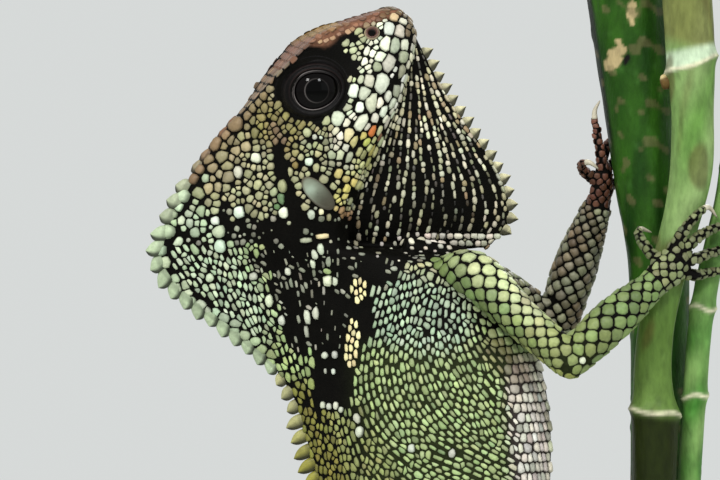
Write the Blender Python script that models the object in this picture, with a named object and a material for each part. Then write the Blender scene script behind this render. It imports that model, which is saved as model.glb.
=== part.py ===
"""A life-size helmeted iguana clinging to two green stems, on a plain display stand.

The body is one smooth form, given by cross-sections from the snout to the tip of the tail.
Each section runs from the top outline to the underside and has a half-width at six heights.
The form is parted at named sections, so that neighbouring solids meet face to face.

Sizes are in millimetres in the animal's own frame: X towards the stems and the belly,
Z up towards the snout, and -Y towards the animal's right side.
"""

import math

import bmesh
import bpy
import numpy as np

MM = 0.001
GAP = 0.3
CUT_MARGIN = 0.02

# The stand's centre in the animal's frame, and the height of that frame above the floor.
STAND_CENTRE_X = 12.0
FRAME_HEIGHT = 338.0

# The head is rolled towards the animal's right about the line from ear to snout.
HEAD_AXIS_POINT = (-8.0, 12.0)
HEAD_AXIS_DIRECTION = (0.417, 0.909)
HEAD_ROLL = math.radians(8.0)
ROLL_FULL_SECTION = 13.0
ROLL_END_SECTION = 20.0

# Heights on a section, as shares of its depth, where the half-widths below are given.
WIDTH_HEIGHTS = (0.0, 0.15, 0.4, 0.65, 0.9, 1.0)

# Each section: top x, top z, bottom x, bottom z, sideways shift, depth of the forehead's trough,
# then the half-width at each of WIDTH_HEIGHTS.
HEAD_SECTIONS = [
    (6.2, 37.1, 7.6, 36.0, 0, 0.0, 0.7, 0.8, 0.9, 0.9, 0.8, 0.4),
    (5.1, 37.4, 8.4, 34.9, 0, 0.1, 2.0, 2.3, 2.6, 2.6, 2.0, 1.2),
    (3.5, 37.1, 8.9, 33.2, 0, 0.4, 3.0, 3.4, 3.9, 4.2, 3.6, 2.2),
    (0.6, 36.2, 8.6, 30.7, 0, 0.8, 3.8, 4.3, 5.0, 5.5, 4.8, 3.0),
    (-2.9, 35.1, 8.0, 27.8, 0, 1.2, 4.8, 5.2, 6.0, 6.6, 5.8, 3.6),
    (-6.3, 34.0, 7.0, 25.0, 0, 1.8, 7.0, 6.8, 6.8, 7.6, 6.6, 4.0),
    (-9.5, 32.0, 6.1, 22.1, 0, 2.2, 8.8, 8.2, 7.8, 8.4, 7.2, 4.2),
    (-12.3, 29.2, 4.8, 19.2, 0, 2.2, 8.8, 8.8, 8.4, 9.0, 7.6, 4.4),
    (-15.3, 25.8, 3.5, 16.3, 0, 1.6, 6.5, 7.8, 8.8, 9.4, 8.0, 4.4),
    (-17.9, 22.1, 2.2, 13.4, 0, 0.6, 3.8, 5.6, 8.4, 9.6, 8.2, 4.4),
    (-20.9, 18.5, 1.0, 10.6, 0, 0.1, 2.0, 3.8, 7.6, 9.6, 8.2, 4.4),
    (-23.8, 14.8, -0.3, 7.7, 0, 0.0, 1.1, 2.6, 6.6, 9.2, 8.0, 4.4),
    (-26.6, 11.0, -1.4, 4.8, 0, 0.0, 0.8, 1.9, 5.4, 8.6, 7.6, 4.4),
    (-29.0, 6.9, -2.0, 1.9, 0, 0.0, 0.7, 1.6, 4.8, 8.0, 7.2, 4.4),
    (-31.0, 2.4, -1.4, -0.7, 0, 0.0, 0.7, 1.4, 4.2, 7.4, 7.0, 4.4),
]
TRUNK_SECTIONS = [
    (-32.4, -2.8, 3.4, -1.2, 0, 0, 0.7, 1.4, 4.0, 7.2, 7.2, 4.4),
    (-29.8, -7.6, 11.2, -1.9, 0, 0, 0.7, 1.5, 4.2, 7.4, 7.6, 4.4),
    (-24.4, -12.0, 18.2, -3.9, 0, 0, 0.7, 1.9, 5.2, 8.2, 8.2, 4.4),
    (-18.2, -16.6, 23.8, -10.0, 0, 0, 0.8, 2.5, 6.6, 9.2, 8.6, 4.4),
    (-13.2, -21.2, 28.0, -16.8, 0, 0, 0.8, 3.2, 8.0, 10.2, 9.0, 4.4),
    (-10.5, -26.0, 29.9, -23.7, 0, 0, 0.8, 4.0, 9.0, 11.2, 9.2, 4.4),
    (-8.9, -31.4, 30.7, -30.4, 0, 0, 0.8, 4.6, 9.8, 12.0, 9.2, 4.2),
    (-7.2, -36.9, 30.7, -36.8, 0, 0, 0.8, 5.0, 10.4, 12.4, 9.2, 4.2),
    (-4.8, -43.6, 30.4, -43.8, 0, 0, 0.8, 5.2, 10.6, 12.4, 9.0, 4.0),
    (-1.4, -51.2, 30.4, -50.0, 0, 0, 0.8, 5.2, 10.2, 11.6, 8.4, 3.8),
    (2.9, -59.1, 30.6, -56.4, 0, 0, 0.8, 5.0, 9.4, 10.4, 7.6, 3.6),
    (8.1, -66.7, 31.4, -63.0, 0, 0, 0.8, 4.6, 8.4, 9.0, 6.8, 3.4),
    (14.0, -73.4, 32.8, -69.6, 0, 0, 0.8, 4.4, 7.6, 8.0, 6.0, 3.0),
    (19.8, -79.5, 34.7, -76.4, 0, 0, 0.8, 4.2, 6.8, 7.0, 5.2, 2.6),
    (24.9, -86.4, 37.0, -84.2, 0, 0, 0.8, 3.6, 5.6, 5.8, 4.2, 2.2),
]

# The tail's line (x, y, z) after the last trunk section, and its depth at each point.
TAIL_LINE = [
    (33.8, 0.0, -96.0), (35.6, 0.3, -108.5), (36.0, 0.6, -122.5), (35.2, 0.8, -138.0),
    (33.4, 0.6, -154.0), (31.2, 0.2, -170.0), (29.0, -0.6, -187.0), (27.4, -1.6, -205.0),
    (26.6, -2.8, -223.0), (26.8, -4.0, -241.0), (27.6, -4.8, -259.0), (27.6, -5.0, -277.0),
    (25.0, -4.6, -294.0), (18.6, -3.8, -308.0), (9.6, -3.0, -315.5), (0.5, -2.4, -315.0),
    (-6.0, -2.0, -309.5),
]
TAIL_DEPTHS = (11.2, 9.2, 8.0, 7.1, 6.4, 5.8, 5.3, 4.8, 4.4, 4.0, 3.6, 3.2, 2.8, 2.4, 2.0, 1.7, 1.3)
TAIL_WIDTH_SHARE = 0.42
TAIL_PROFILE = (0.16, 0.62, 0.96, 1.0, 0.72, 0.34)

# Where the body is parted, as section numbers from the snout.
HEAD_END = 14.0
NECK_END = 19.0
TORSO_END = 25.5
HIPS_END = 29.0
TAIL_CUTS = (29.0, 33.0, 36.5, 40.0, 43.0, 46.0)
HEAD_SPACING = 0.75
TRUNK_SPACING = 0.7
TAIL_SPACING = 0.6

# How far a section's top rises at its centre, as a share of its half-width there.
TOP_ROUNDNESS = 0.2

# Heights where points stand on each side of a section.
TRUNK_STATIONS = (0.0, 0.06, 0.14, 0.26, 0.4, 0.54, 0.68, 0.8, 0.91, 1.0)
TAIL_STATIONS = (0.0, 0.18, 0.42, 0.68, 0.9, 1.0)
HEAD_UPPER_STATIONS = (0.0, 0.1, 0.22, 0.38, 0.56, 0.74, 0.9)
HEAD_LOWER_STATIONS = (0.3, 0.65, 1.0)

# The line of the mouth: its height on the head's sections, where it ends, and its groove.
MOUTH_HEIGHTS = (0.56, 0.6, 0.65, 0.71, 0.75, 0.78, 0.8, 0.81, 0.81, 0.8, 0.8, 0.8, 0.8, 0.8, 0.8)
MOUTH_CORNER = 9.5
MOUTH_GROOVE_DEPTH = 0.55
MOUTH_GROOVE_HALF_WIDTH = 0.35
LIP_SWELL = 0.25

# The casque is parted from the head along a straight line (x, z) behind the eye.
CASQUE_LINE_TOP = (-15.6, 27.0)
CASQUE_LINE_BOTTOM = (-21.5, -4.0)

# Eyes, ears and nostrils, on the head before its roll.
EYE_CENTRE = (-8.1, 5.4, 24.3)
EYE_RADIUS = 4.7
LID_RADIUS = 5.6
EYE_OPENING = (3.9, 3.45)
EYE_OPENING_TILT = 0.4
EAR_CENTRE = (-7.4, 8.2)
EAR_HALF_LENGTH = 3.3
EAR_HALF_WIDTH = 1.6
EAR_TILT = math.radians(-45.0)
EAR_DEPTH = 0.9
NOSTRIL_TILT = 0.2
NOSTRIL_CENTRE = (1.3, 33.2)
NOSTRIL_RADII = (0.9, 1.0, 0.6)

# The throat pouch, from the chin to its rear end, in the same form as the body's sections.
POUCH_SECTIONS = [
    (7.4, 33.8, 9.2, 32.2, 0, 0, 0.9, 0.9, 0.9, 0.8, 0.7, 0.5),
    (6.6, 28.8, 11.2, 28.5, 0, 0, 2.4, 2.2, 1.8, 1.4, 0.9, 0.5),
    (5.4, 23.7, 13.8, 23.7, 0, 0, 3.2, 2.9, 2.4, 1.8, 1.0, 0.5),
    (3.6, 18.6, 17.0, 19.0, 0, 0, 3.4, 3.1, 2.6, 2.0, 1.1, 0.5),
    (1.7, 13.6, 20.3, 14.4, 0, 0, 3.4, 3.2, 2.7, 2.1, 1.1, 0.5),
    (0.1, 9.2, 23.0, 9.7, 0, 0, 3.4, 3.2, 2.7, 2.1, 1.1, 0.5),
    (-1.2, 5.2, 24.2, 5.3, 0, 0, 3.0, 2.9, 2.5, 1.9, 1.0, 0.5),
    (-1.6, 2.0, 23.6, 1.8, 0, 0, 2.2, 2.1, 1.8, 1.4, 0.8, 0.5),
    (-1.4, -1.0, 20.6, -1.5, 0, 0, 0.8, 0.8, 0.8, 0.7, 0.6, 0.4),
]
POUCH_STATIONS = (0.0, 0.2, 0.4, 0.6, 0.78, 0.92, 1.0)

# Crests: first and last section, spacing, height at the first and at the last spine,
# length of the root, thickness and lean.
CROWN_CREST = (9.6, 12.1, 2.4, 0.4, 0.7, 1.9, 0.9, 0.1)
CASQUE_CREST = (12.3, 14.0, 2.5, 1.3, 1.7, 2.1, 1.1, 0.2)
NAPE_CREST = (14.0, 19.0, 2.4, 1.8, 1.3, 2.0, 1.1, 0.3)
FORE_BACK_CREST = (19.0, 21.2, 2.2, 1.4, 2.5, 1.6, 1.0, 0.1)
BACK_CREST = (21.2, 25.5, 2.2, 2.6, 2.4, 1.6, 1.0, 0.1)
HIP_CREST = (25.5, 29.0, 2.3, 2.3, 1.4, 1.8, 1.0, 0.2)
TAIL_CREST = (29.0, 33.0, 3.2, 1.3, 0.5, 2.0, 0.8, 0.3)
POUCH_CREST = (0.3, 7.4, 2.2, 1.5, 1.2, 1.8, 1.0, -0.1)
SPINE_SINK = 0.9
CREST_END_MARGIN = 0.45

# Limbs of the right side, which the camera side shows, and of the left side: points and radii.
ARM_RIGHT = [(13.5, -3.5, -5.6), (18.4, -7.8, -5.6), (25.5, -11.0, -12.4), (33.3, -13.0, -19.2),
             (40.0, -11.6, -12.8), (46.8, -9.2, -6.9)]
ARM_LEFT = [(13.5, 3.5, -6.0), (19.5, 7.8, -7.0), (26.2, 11.5, -10.4), (31.4, 14.0, -15.4),
            (34.6, 11.8, -4.6), (38.1, 9.4, 5.2)]
ARM_RADII = (3.2, 3.9, 3.4, 3.1, 3.6, 2.5)
LEG_RIGHT = [(24.0, -3.0, -77.0), (26.0, -7.8, -76.0), (25.0, -16.5, -67.0), (25.5, -23.6, -58.8),
             (33.8, -18.4, -67.4), (40.8, -12.4, -78.0)]
LEG_LEFT = [(24.0, 3.0, -77.0), (26.0, 7.8, -76.0), (24.6, 17.0, -68.0), (24.8, 24.6, -60.6),
            (33.0, 21.2, -69.6), (39.6, 16.8, -80.4)]
LEG_RADII = (4.6, 5.1, 4.6, 3.1, 3.3, 2.0)
# Two points along each palm or sole, from the wrist or ankle on.
HAND_RIGHT = [(48.8, -8.7, -4.9), (50.4, -8.3, -3.3)]
HAND_LEFT = [(38.9, 8.6, 8.0), (39.2, 8.2, 10.6)]
FOOT_RIGHT = [(42.2, -10.6, -76.0), (43.2, -8.9, -72.8)]
FOOT_LEFT = [(41.2, 16.0, -78.4), (42.8, 14.8, -75.0)]
LIMB_SIDES = 10
LIMB_STATIONS = 8
DIGIT_SIDES = 5
DIGIT_STATIONS = 8
PALM_FLATNESS = 0.6

# The stems: centre line (x, y, z) with its radius, and the heights of the rings at the joints.
CANE_LINE = [(51.9, -3, 48, 4.0), (52.3, -3, 38, 4.1), (52.8, -3, 29, 4.0), (53.1, -3, 20, 3.5),
             (53.0, -3, 12, 3.5), (51.8, -3, 5, 3.2), (50.2, -3, -1, 3.05), (47.6, -3, -12, 3.05),
             (46.8, -3, -19, 3.05), (46.8, -3, -24.5, 3.4), (47.1, -3, -27.5, 3.8),
             (47.1, -3, -38, 3.6), (47.2, -3, -62, 3.5), (47.2, -3, -98, 3.6),
             (47.2, -3, -103, 3.8), (47.2, -3, -128, 3.7)]
CANE_RINGS = (28.0, -27.5, -103.0)
CANE_RING_HEIGHT = 0.5
CANE_RING_HALF_LENGTH = 0.8
SHOOT_LINE = [(60.6, -1.6, 48, 1.9), (60.5, -1.4, 26, 1.9), (59.2, -1.2, 10, 2.0),
              (57.6, -1.0, 2, 2.0), (55.6, -0.6, -6.4, 2.0), (54.4, -0.2, -14, 2.0),
              (53.5, 0.4, -26, 2.0), (52.7, 0.9, -38, 2.0), (52.7, 1.0, -62, 2.0),
              (52.3, 0.4, -84, 2.0), (50.6, -1.2, -97, 2.1), (48.0, -2.6, -104, 2.2)]
SHOOT_RINGS = (21.0, -10.9, -25.0, -58.0)
STEM_LINE = [(40.9, 7.4, 48, 5.7), (42.5, 7.4, 36, 5.7), (44.9, 7.4, 19, 5.5), (46.4, 7.4, 8, 5.4),
             (47.9, 7.4, -3, 5.0), (48.2, 7.6, -15, 4.8), (48.2, 8, -38, 4.8), (48.2, 8, -75, 4.8),
             (48.2, 8, -128, 4.9)]

# The stand.
BASE_SIZE = (126.0, 96.0, 10.0)
BASE_CORNER_RADIUS = 14.0
BASE_EDGE_BEVEL = 1.5
ROD_RADIUS = 2.0

# Base colours, roughness and metallic value of each material.
MATERIALS = {
    "skin_green": ((0.24, 0.33, 0.12), 0.6, 0.0),
    "skin_dark": ((0.10, 0.10, 0.06), 0.6, 0.0),
    "skin_casque": ((0.30, 0.33, 0.22), 0.6, 0.0),
    "skin_brown": ((0.20, 0.14, 0.09), 0.6, 0.0),
    "eye": ((0.012, 0.009, 0.008), 0.08, 0.0),
    "cane": ((0.22, 0.36, 0.10), 0.5, 0.0),
    "stem": ((0.07, 0.20, 0.04), 0.55, 0.0),
    "stand_wood": ((0.045, 0.030, 0.022), 0.4, 0.0),
    "stand_steel": ((0.42, 0.42, 0.43), 0.35, 1.0),
}


def smooth_curve(knots, values, at):
    """Values read at the places in `at` from a curve through `values`, with Catmull-Rom slopes."""
    knots = np.asarray(knots, float)
    values = np.asarray(values, float)
    values = values.reshape(len(knots), -1)
    at = np.atleast_1d(np.asarray(at, float))
    slopes = np.empty_like(values)
    slopes[1:-1] = (values[2:] - values[:-2]) / (knots[2:] - knots[:-2])[:, None]
    slopes[0] = (values[1] - values[0]) / (knots[1] - knots[0])
    slopes[-1] = (values[-1] - values[-2]) / (knots[-1] - knots[-2])
    left = np.clip(np.searchsorted(knots, at, side="right") - 1, 0, len(knots) - 2)
    span = (knots[left + 1] - knots[left])[:, None]
    u = (at[:, None] - knots[left][:, None]) / span
    return (
        values[left] * (2 * u**3 - 3 * u**2 + 1)
        + slopes[left] * span * (u**3 - 2 * u**2 + u)
        + values[left + 1] * (3 * u**2 - 2 * u**3)
        + slopes[left + 1] * span * (u**3 - u**2)
    )


def tail_sections():
    """The tail's sections, worked out from its line and its depth."""
    line = np.array(TAIL_LINE)
    last = TRUNK_SECTIONS[-1]
    start = [(last[0] + last[2]) / 2, 0.0, (last[1] + last[3]) / 2]
    along = np.gradient(np.vstack([start, line]), axis=0)[1:]
    rows = []
    for (x, y, z), (along_x, _, along_z), depth in zip(line, along, TAIL_DEPTHS):
        length = math.hypot(along_x, along_z)
        back = np.array([along_z, -along_x]) / length * depth / 2
        widths = [share * depth * TAIL_WIDTH_SHARE for share in TAIL_PROFILE]
        rows.append((x + back[0], z + back[1], x - back[0], z - back[1], y, 0, *widths))
    return rows


BODY = np.array([*HEAD_SECTIONS, *TRUNK_SECTIONS, *tail_sections()], float)
POUCH = np.array(POUCH_SECTIONS, float)


def read_section(table, s):
    return smooth_curve(np.arange(len(table)), table, s)[0]


def half_widths(section, heights):
    return smooth_curve(WIDTH_HEIGHTS, section[6:12], heights)[:, 0]


def roll_weight(s):
    """How much of the head's roll a section takes: all of it on the head, none past the neck."""
    share = np.clip((s - ROLL_FULL_SECTION) / (ROLL_END_SECTION - ROLL_FULL_SECTION), 0, 1)
    return 1 - share * share * (3 - 2 * share)


def rolled(points, weight):
    """Points turned about the head's axis, keeping the outline that the side view shows."""
    points = np.asarray(points, float)
    axis = np.array([HEAD_AXIS_DIRECTION[0], 0.0, HEAD_AXIS_DIRECTION[1]])
    centre = np.array([HEAD_AXIS_POINT[0], 0.0, HEAD_AXIS_POINT[1]])
    across = np.array([-axis[2], 0.0, axis[0]])
    offset = points - centre
    along = offset @ axis
    out = offset @ across
    side = offset[:, 1]
    angle = HEAD_ROLL * weight
    out = out / math.cos(angle)
    new_out = out * math.cos(angle) + side * math.sin(angle)
    new_side = side * math.cos(angle) - out * math.sin(angle)
    turned = centre + np.outer(along, axis) + np.outer(new_out, across)
    turned[:, 1] = new_side
    return turned


def groove(s, height, depth_of_section, mouth):
    """How far the head's side is pushed out, by the lips, or in, by the line of the mouth."""
    if s > MOUTH_CORNER:
        return 0.0
    distance = abs(height - mouth) * depth_of_section
    if distance < 0.5 * MOUTH_GROOVE_HALF_WIDTH:
        return -MOUTH_GROOVE_DEPTH
    return LIP_SWELL * math.exp(-distance)


def section_ring(table, s, stations, grow=0.0, shift=0.0, weight=None, mouth=None):
    """A section's points: down the right side from the top's centre, and up the left side."""
    row = read_section(table, s)
    top, bottom = row[0:2].copy(), row[2:4].copy()
    across = (bottom - top) / np.linalg.norm(bottom - top)
    step = np.array([across[1], -across[0]]) * shift
    top += step - across * grow
    bottom += step + across * grow
    depth = np.linalg.norm(bottom - top)
    widths = np.maximum(half_widths(row, stations), 0.05) + grow
    if mouth is not None:
        widths = widths + [groove(s, t, depth, mouth) for t in stations]
    # The top is a shallow trough on the forehead, and a slightly rounded edge everywhere else.
    dip = row[5] - TOP_ROUNDNESS * widths[0]
    centre_line = [(top + across * dip, 0.0), (top + across * dip * 0.7, widths[0] * 0.55)]
    side = [(top + across * depth * t, w) for t, w in zip(stations, widths)]
    right = [(p[0], row[4] - w, p[1]) for p, w in [*centre_line[1:], *side]]
    left = [(p[0], row[4] + w, p[1]) for p, w in [*centre_line[1:], *side]]
    first = (centre_line[0][0][0], row[4], centre_line[0][0][1])
    last = (bottom[0], row[4], bottom[1])
    ring = [first, *right, last, *left[::-1]]
    return rolled(ring, roll_weight(s) if weight is None else weight)


def loft(rings):
    """Vertices and faces of the closed body through rings of equal length, capped at both ends."""
    count = len(rings[0])
    half = count // 2
    verts = np.vstack(rings)
    faces = []
    for i in range(len(rings) - 1):
        for j in range(count):
            a, b = i * count + j, i * count + (j + 1) % count
            c, d = b + count, a + count
            # The diagonals mirror from side to side, so that thin plates don't cross themselves.
            faces += [(a, b, c), (a, c, d)] if j < half else [(a, b, d), (b, c, d)]
    for offset, flip in ((0, False), ((len(rings) - 1) * count, True)):
        crown = [2, 3, count - 3, count - 2, count - 1, 0, 1]
        strips = [crown]
        for j in range(3, half - 1):
            strips.append([j, j + 1, count - j - 1, count - j])
        strips.append([half - 1, half, half + 1])
        for strip in strips:
            faces.append(tuple(offset + k for k in (strip[::-1] if flip else strip)))
    return verts, faces


def body_loft(first, last, stations, spacing, ends=(0.0, 0.0), grow=0.0, head=False):
    """The body between two sections. `ends` pulls each end face in along the body."""
    steps = max(2, round((last - first) / spacing) + 1)
    rings = []
    for s in np.linspace(first, last, steps):
        shift = ends[0] if s == first else -ends[1] if s == last else 0.0
        if head:
            mouth = smooth_curve(np.arange(len(MOUTH_HEIGHTS)), MOUTH_HEIGHTS, s)[0, 0]
            row = read_section(BODY, s)
            depth = math.hypot(row[2] - row[0], row[3] - row[1])
            lip = min(MOUTH_GROOVE_HALF_WIDTH / depth, 0.25 * mouth, 0.25 * (1 - mouth))
            upper = [(mouth - lip) * t for t in HEAD_UPPER_STATIONS]
            lower = [mouth + lip + (1 - mouth - lip) * t for t in HEAD_LOWER_STATIONS]
            heights = [*upper, mouth - lip, mouth, mouth + lip, *lower]
            rings.append(section_ring(BODY, s, heights, grow, shift, mouth=mouth))
        else:
            rings.append(section_ring(BODY, s, stations, grow, shift))
    return loft(rings)


def body_cutters(*names):
    """Lengths of the body, grown by the gap, to cut back what grows from them."""
    lengths = {
        "head": (0.0, HEAD_END, None, HEAD_SPACING),
        "neck": (HEAD_END, NECK_END, TRUNK_STATIONS, TRUNK_SPACING),
        "torso": (NECK_END, TORSO_END, TRUNK_STATIONS, TRUNK_SPACING),
        "hips": (TORSO_END, HIPS_END, TRUNK_STATIONS, TRUNK_SPACING),
        "tail_1": (TAIL_CUTS[0], TAIL_CUTS[1], TAIL_STATIONS, TAIL_SPACING),
    }
    cutters = []
    for name in names:
        form = body_loft(*lengths[name], (-GAP, -GAP), GAP + CUT_MARGIN, head=name == "head")
        cutters.append(new_object("cutter", *form))
    return cutters


def new_mesh(name, verts, faces):
    """A mesh in metres, in the stand's frame, with its faces pointing out."""
    verts = np.asarray(verts, float) - (STAND_CENTRE_X, 0.0, -FRAME_HEIGHT)
    mesh = bpy.data.meshes.new(name)
    mesh.from_pydata((verts * MM).tolist(), [], [tuple(f) for f in faces])
    work = bmesh.new()
    work.from_mesh(mesh)
    face_outwards(work)
    work.to_mesh(mesh)
    work.free()
    return mesh


def face_outwards(work):
    bmesh.ops.recalc_face_normals(work, faces=work.faces)
    if work.calc_volume(signed=True) < 0:
        bmesh.ops.reverse_faces(work, faces=work.faces)


def new_object(name, verts, faces):
    obj = bpy.data.objects.new(name, new_mesh(name, verts, faces))
    bpy.context.scene.collection.objects.link(obj)
    return obj


def apply_modifiers(obj):
    bpy.context.view_layer.update()
    graph = bpy.context.evaluated_depsgraph_get()
    mesh = bpy.data.meshes.new_from_object(obj.evaluated_get(graph))
    obj.modifiers.clear()
    obj.data = mesh


def boolean(obj, others, operation):
    """Joins or cuts obj by all the other objects in one Boolean, and removes them."""
    tools = bpy.data.collections.new("tools")
    bpy.context.scene.collection.children.link(tools)
    for other in others:
        bpy.context.scene.collection.objects.unlink(other)
        tools.objects.link(other)
    modifier = obj.modifiers.new("join", "BOOLEAN")
    modifier.operation = operation
    modifier.operand_type = "COLLECTION"
    modifier.collection = tools
    modifier.solver = "MANIFOLD"
    apply_modifiers(obj)
    for other in others:
        bpy.data.objects.remove(other)
    bpy.data.collections.remove(tools)
    keep_largest(obj)
    return obj


def keep_largest(obj):
    """Keeps the closed surface that has the most volume, and drops every other."""
    work = bmesh.new()
    work.from_mesh(obj.data)
    bmesh.ops.remove_doubles(work, verts=work.verts, dist=1e-7)
    unseen = set(work.faces)
    shells = []
    while unseen:
        start = unseen.pop()
        shell, front = [start], [start]
        while front:
            face = front.pop()
            for edge in face.edges:
                for other in edge.link_faces:
                    if other in unseen:
                        unseen.discard(other)
                        shell.append(other)
                        front.append(other)
        shells.append(shell)
    shells.sort(key=shell_volume)
    loose = [face for shell in shells[:-1] for face in shell]
    bmesh.ops.delete(work, geom=loose, context="FACES")
    work.to_mesh(obj.data)
    work.free()


def shell_volume(shell):
    total = 0.0
    for face in shell:
        corners = [v.co for v in face.verts]
        for b, c in zip(corners[1:], corners[2:]):
            total += corners[0].dot(b.cross(c))
    return abs(total)


def clip(obj, point, normal):
    """Cuts away what lies on the normal's side of a plane, and closes the cut."""
    work = bmesh.new()
    work.from_mesh(obj.data)
    geometry = [*work.verts, *work.edges, *work.faces]
    point = np.asarray(point, float) - (STAND_CENTRE_X, 0.0, -FRAME_HEIGHT)
    bmesh.ops.bisect_plane(
        work, geom=geometry, dist=1e-7, plane_co=point * MM, plane_no=normal, clear_outer=True
    )
    rim = [edge for edge in work.edges if edge.is_boundary]
    bmesh.ops.triangle_fill(work, edges=rim, use_beauty=True)
    face_outwards(work)
    work.to_mesh(obj.data)
    work.free()
    return obj


def spine_mesh(root, out, along, height, root_length, thickness, lean):
    """A flat-sided spine with a sunk root: four sides, a waist half-way and a point."""
    side = np.array([0.0, 1.0, 0.0])
    levels = [(-SPINE_SINK, 1.0, 1.0), (0.0, 1.0, 1.0), (0.5 * height, 0.66, 0.75)]
    rings = []
    for rise, long_share, thick_share in levels:
        centre = root + out * rise + along * lean * max(rise, 0.0)
        half_long = along * root_length / 2 * long_share
        half_thick = side * thickness / 2 * thick_share
        rings.append([centre - half_long, centre - half_thick, centre + half_long, centre + half_thick])
    tip = root + out * height + along * lean * height
    verts = [*rings[0], *rings[1], *rings[2], tip]
    faces = [(3, 2, 1, 0)]
    for level in (0, 4):
        for j in range(4):
            k = (j + 1) % 4
            faces.append((level + j, level + k, level + 4 + k, level + 4 + j))
    faces += [(8 + j, 8 + (j + 1) % 4, 12) for j in range(4)]
    return np.array(verts), faces


def crest_places(table, edge, first, last, spacing, margin):
    """Section numbers at equal distances along an outline: edge 0 is the top, 2 the underside."""
    s = np.linspace(first, last, 400)
    rows = smooth_curve(np.arange(len(table)), table, s)[:, edge : edge + 2]
    run = np.concatenate([[0], np.cumsum(np.linalg.norm(np.diff(rows, axis=0), axis=1))])
    free = run[-1] - 2 * margin
    count = max(2, round(free / spacing) + 1)
    return np.interp(margin + np.linspace(0, free, count), run, s)


def crest(table, edge, spec, weight=None):
    """The spines of one crest, each as its own closed object, to be joined to its node."""
    first, last, spacing, first_height, last_height, root_length, thickness, lean = spec
    margin = root_length / 2 + CREST_END_MARGIN
    places = crest_places(table, edge, first, last, spacing, margin)
    spines = []
    for i, s in enumerate(places):
        before, row, after = (read_section(table, s + d) for d in (-0.1, 0.0, 0.1))
        along = after[edge : edge + 2] - before[edge : edge + 2]
        along = along / np.linalg.norm(along)
        out = np.array([along[1], -along[0]]) * (1 if edge == 0 else -1)
        height = first_height + (last_height - first_height) * i / (len(places) - 1)
        # Neighbouring scales of a crest differ a little in size and stand a hair to either side.
        size = 1.0 + 0.1 * math.sin(2.4 * i)
        side = 0.06 * (-1) ** i
        verts, faces = spine_mesh(
            np.array([row[edge], row[4] + side, row[edge + 1]]),
            np.array([out[0], 0.0, out[1]]),
            np.array([along[0], 0.0, along[1]]),
            height * size,
            root_length,
            thickness,
            lean,
        )
        share = roll_weight(s) if weight is None else weight
        spines.append(new_object(f"spine_{i}", rolled(verts, share), faces))
    return spines


def frames_along(points, start=None, tangents=None):
    """Unit tangent and two side directions at each point of a line, carried without twist."""
    if tangents is None:
        tangents = np.gradient(points, axis=0)
    tangents = tangents / np.linalg.norm(tangents, axis=1)[:, None]
    side = np.cross(tangents[0], (1.0, 0.0, 0.0)) if start is None else np.asarray(start, float)
    sides, uppers = [], []
    for tangent in tangents:
        side = side - tangent * (side @ tangent)
        side = side / np.linalg.norm(side)
        sides.append(side)
        uppers.append(np.cross(tangent, side))
    return tangents, np.array(sides), np.array(uppers)


def tube(points, radii, sides, flatten=1.0, frames=None, start=None):
    """A closed tube round a line. `flatten` squeezes it along its first side direction."""
    points = np.asarray(points, float)
    _, side, upper = frames_along(points, start) if frames is None else frames
    angles = (np.arange(sides) + 0.5) * 2 * math.pi / sides
    verts = []
    for p, r, a, b in zip(points, radii, side, upper):
        verts += [p + r * (flatten * math.cos(t) * a + math.sin(t) * b) for t in angles]
    faces = []
    for i in range(len(points) - 1):
        for j in range(sides):
            k = (j + 1) % sides
            faces.append((i * sides + j, i * sides + k, (i + 1) * sides + k, (i + 1) * sides + j))
    faces.append(tuple(range(sides))[::-1])
    faces.append(tuple((len(points) - 1) * sides + j for j in range(sides)))
    return np.array(verts), faces


def ellipsoid(centre, radii, turn=0.0, segments=14, rings=8):
    """A closed ellipsoid, turned about Y."""
    verts = [(0.0, -radii[1], 0.0)]
    for i in range(1, rings):
        latitude = math.pi * i / rings
        for j in range(segments):
            longitude = 2 * math.pi * j / segments
            verts.append((
                radii[0] * math.sin(latitude) * math.cos(longitude),
                -radii[1] * math.cos(latitude),
                radii[2] * math.sin(latitude) * math.sin(longitude),
            ))
    verts.append((0.0, radii[1], 0.0))
    faces = [(0, 1 + (j + 1) % segments, 1 + j) for j in range(segments)]
    for i in range(rings - 2):
        for j in range(segments):
            a, b = 1 + i * segments + j, 1 + i * segments + (j + 1) % segments
            faces.append((a, b, b + segments, a + segments))
    end = len(verts) - 1
    base = end - segments
    faces += [(base + j, base + (j + 1) % segments, end) for j in range(segments)]
    verts = np.array(verts)
    x = verts[:, 0] * math.cos(turn) - verts[:, 2] * math.sin(turn)
    z = verts[:, 0] * math.sin(turn) + verts[:, 2] * math.cos(turn)
    return np.stack([x, verts[:, 1], z], axis=1) + np.asarray(centre, float), faces


def disc_cutter(centre, half_x, half_z, turn, inner_y, outer_y, sides=16):
    """An elliptic plug along Y, to cut an opening in the side of the head."""
    verts = []
    for y in (inner_y, outer_y):
        for j in range(sides):
            t = 2 * math.pi * j / sides
            x, z = half_x * math.cos(t), half_z * math.sin(t)
            verts.append((
                centre[0] + x * math.cos(turn) - z * math.sin(turn),
                y,
                centre[1] + x * math.sin(turn) + z * math.cos(turn),
            ))
    faces = [tuple(range(sides)), tuple(range(2 * sides - 1, sides - 1, -1))]
    faces += [(j, (j + 1) % sides, sides + (j + 1) % sides, sides + j) for j in range(sides)]
    return np.array(verts), faces


def surface_y(x, z):
    """The head's half-width at a point (x, z) of its side view."""
    best = None
    for s in np.linspace(0, HEAD_END, 141):
        row = read_section(BODY, s)
        top, bottom = row[0:2], row[2:4]
        across = bottom - top
        depth = np.linalg.norm(across)
        across = across / depth
        offset = np.array([x, z]) - top
        miss = abs(offset[0] * across[1] - offset[1] * across[0])
        if best is None or miss < best[0]:
            best = (miss, half_widths(row, offset @ across / depth)[0])
    return best[1]


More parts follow.
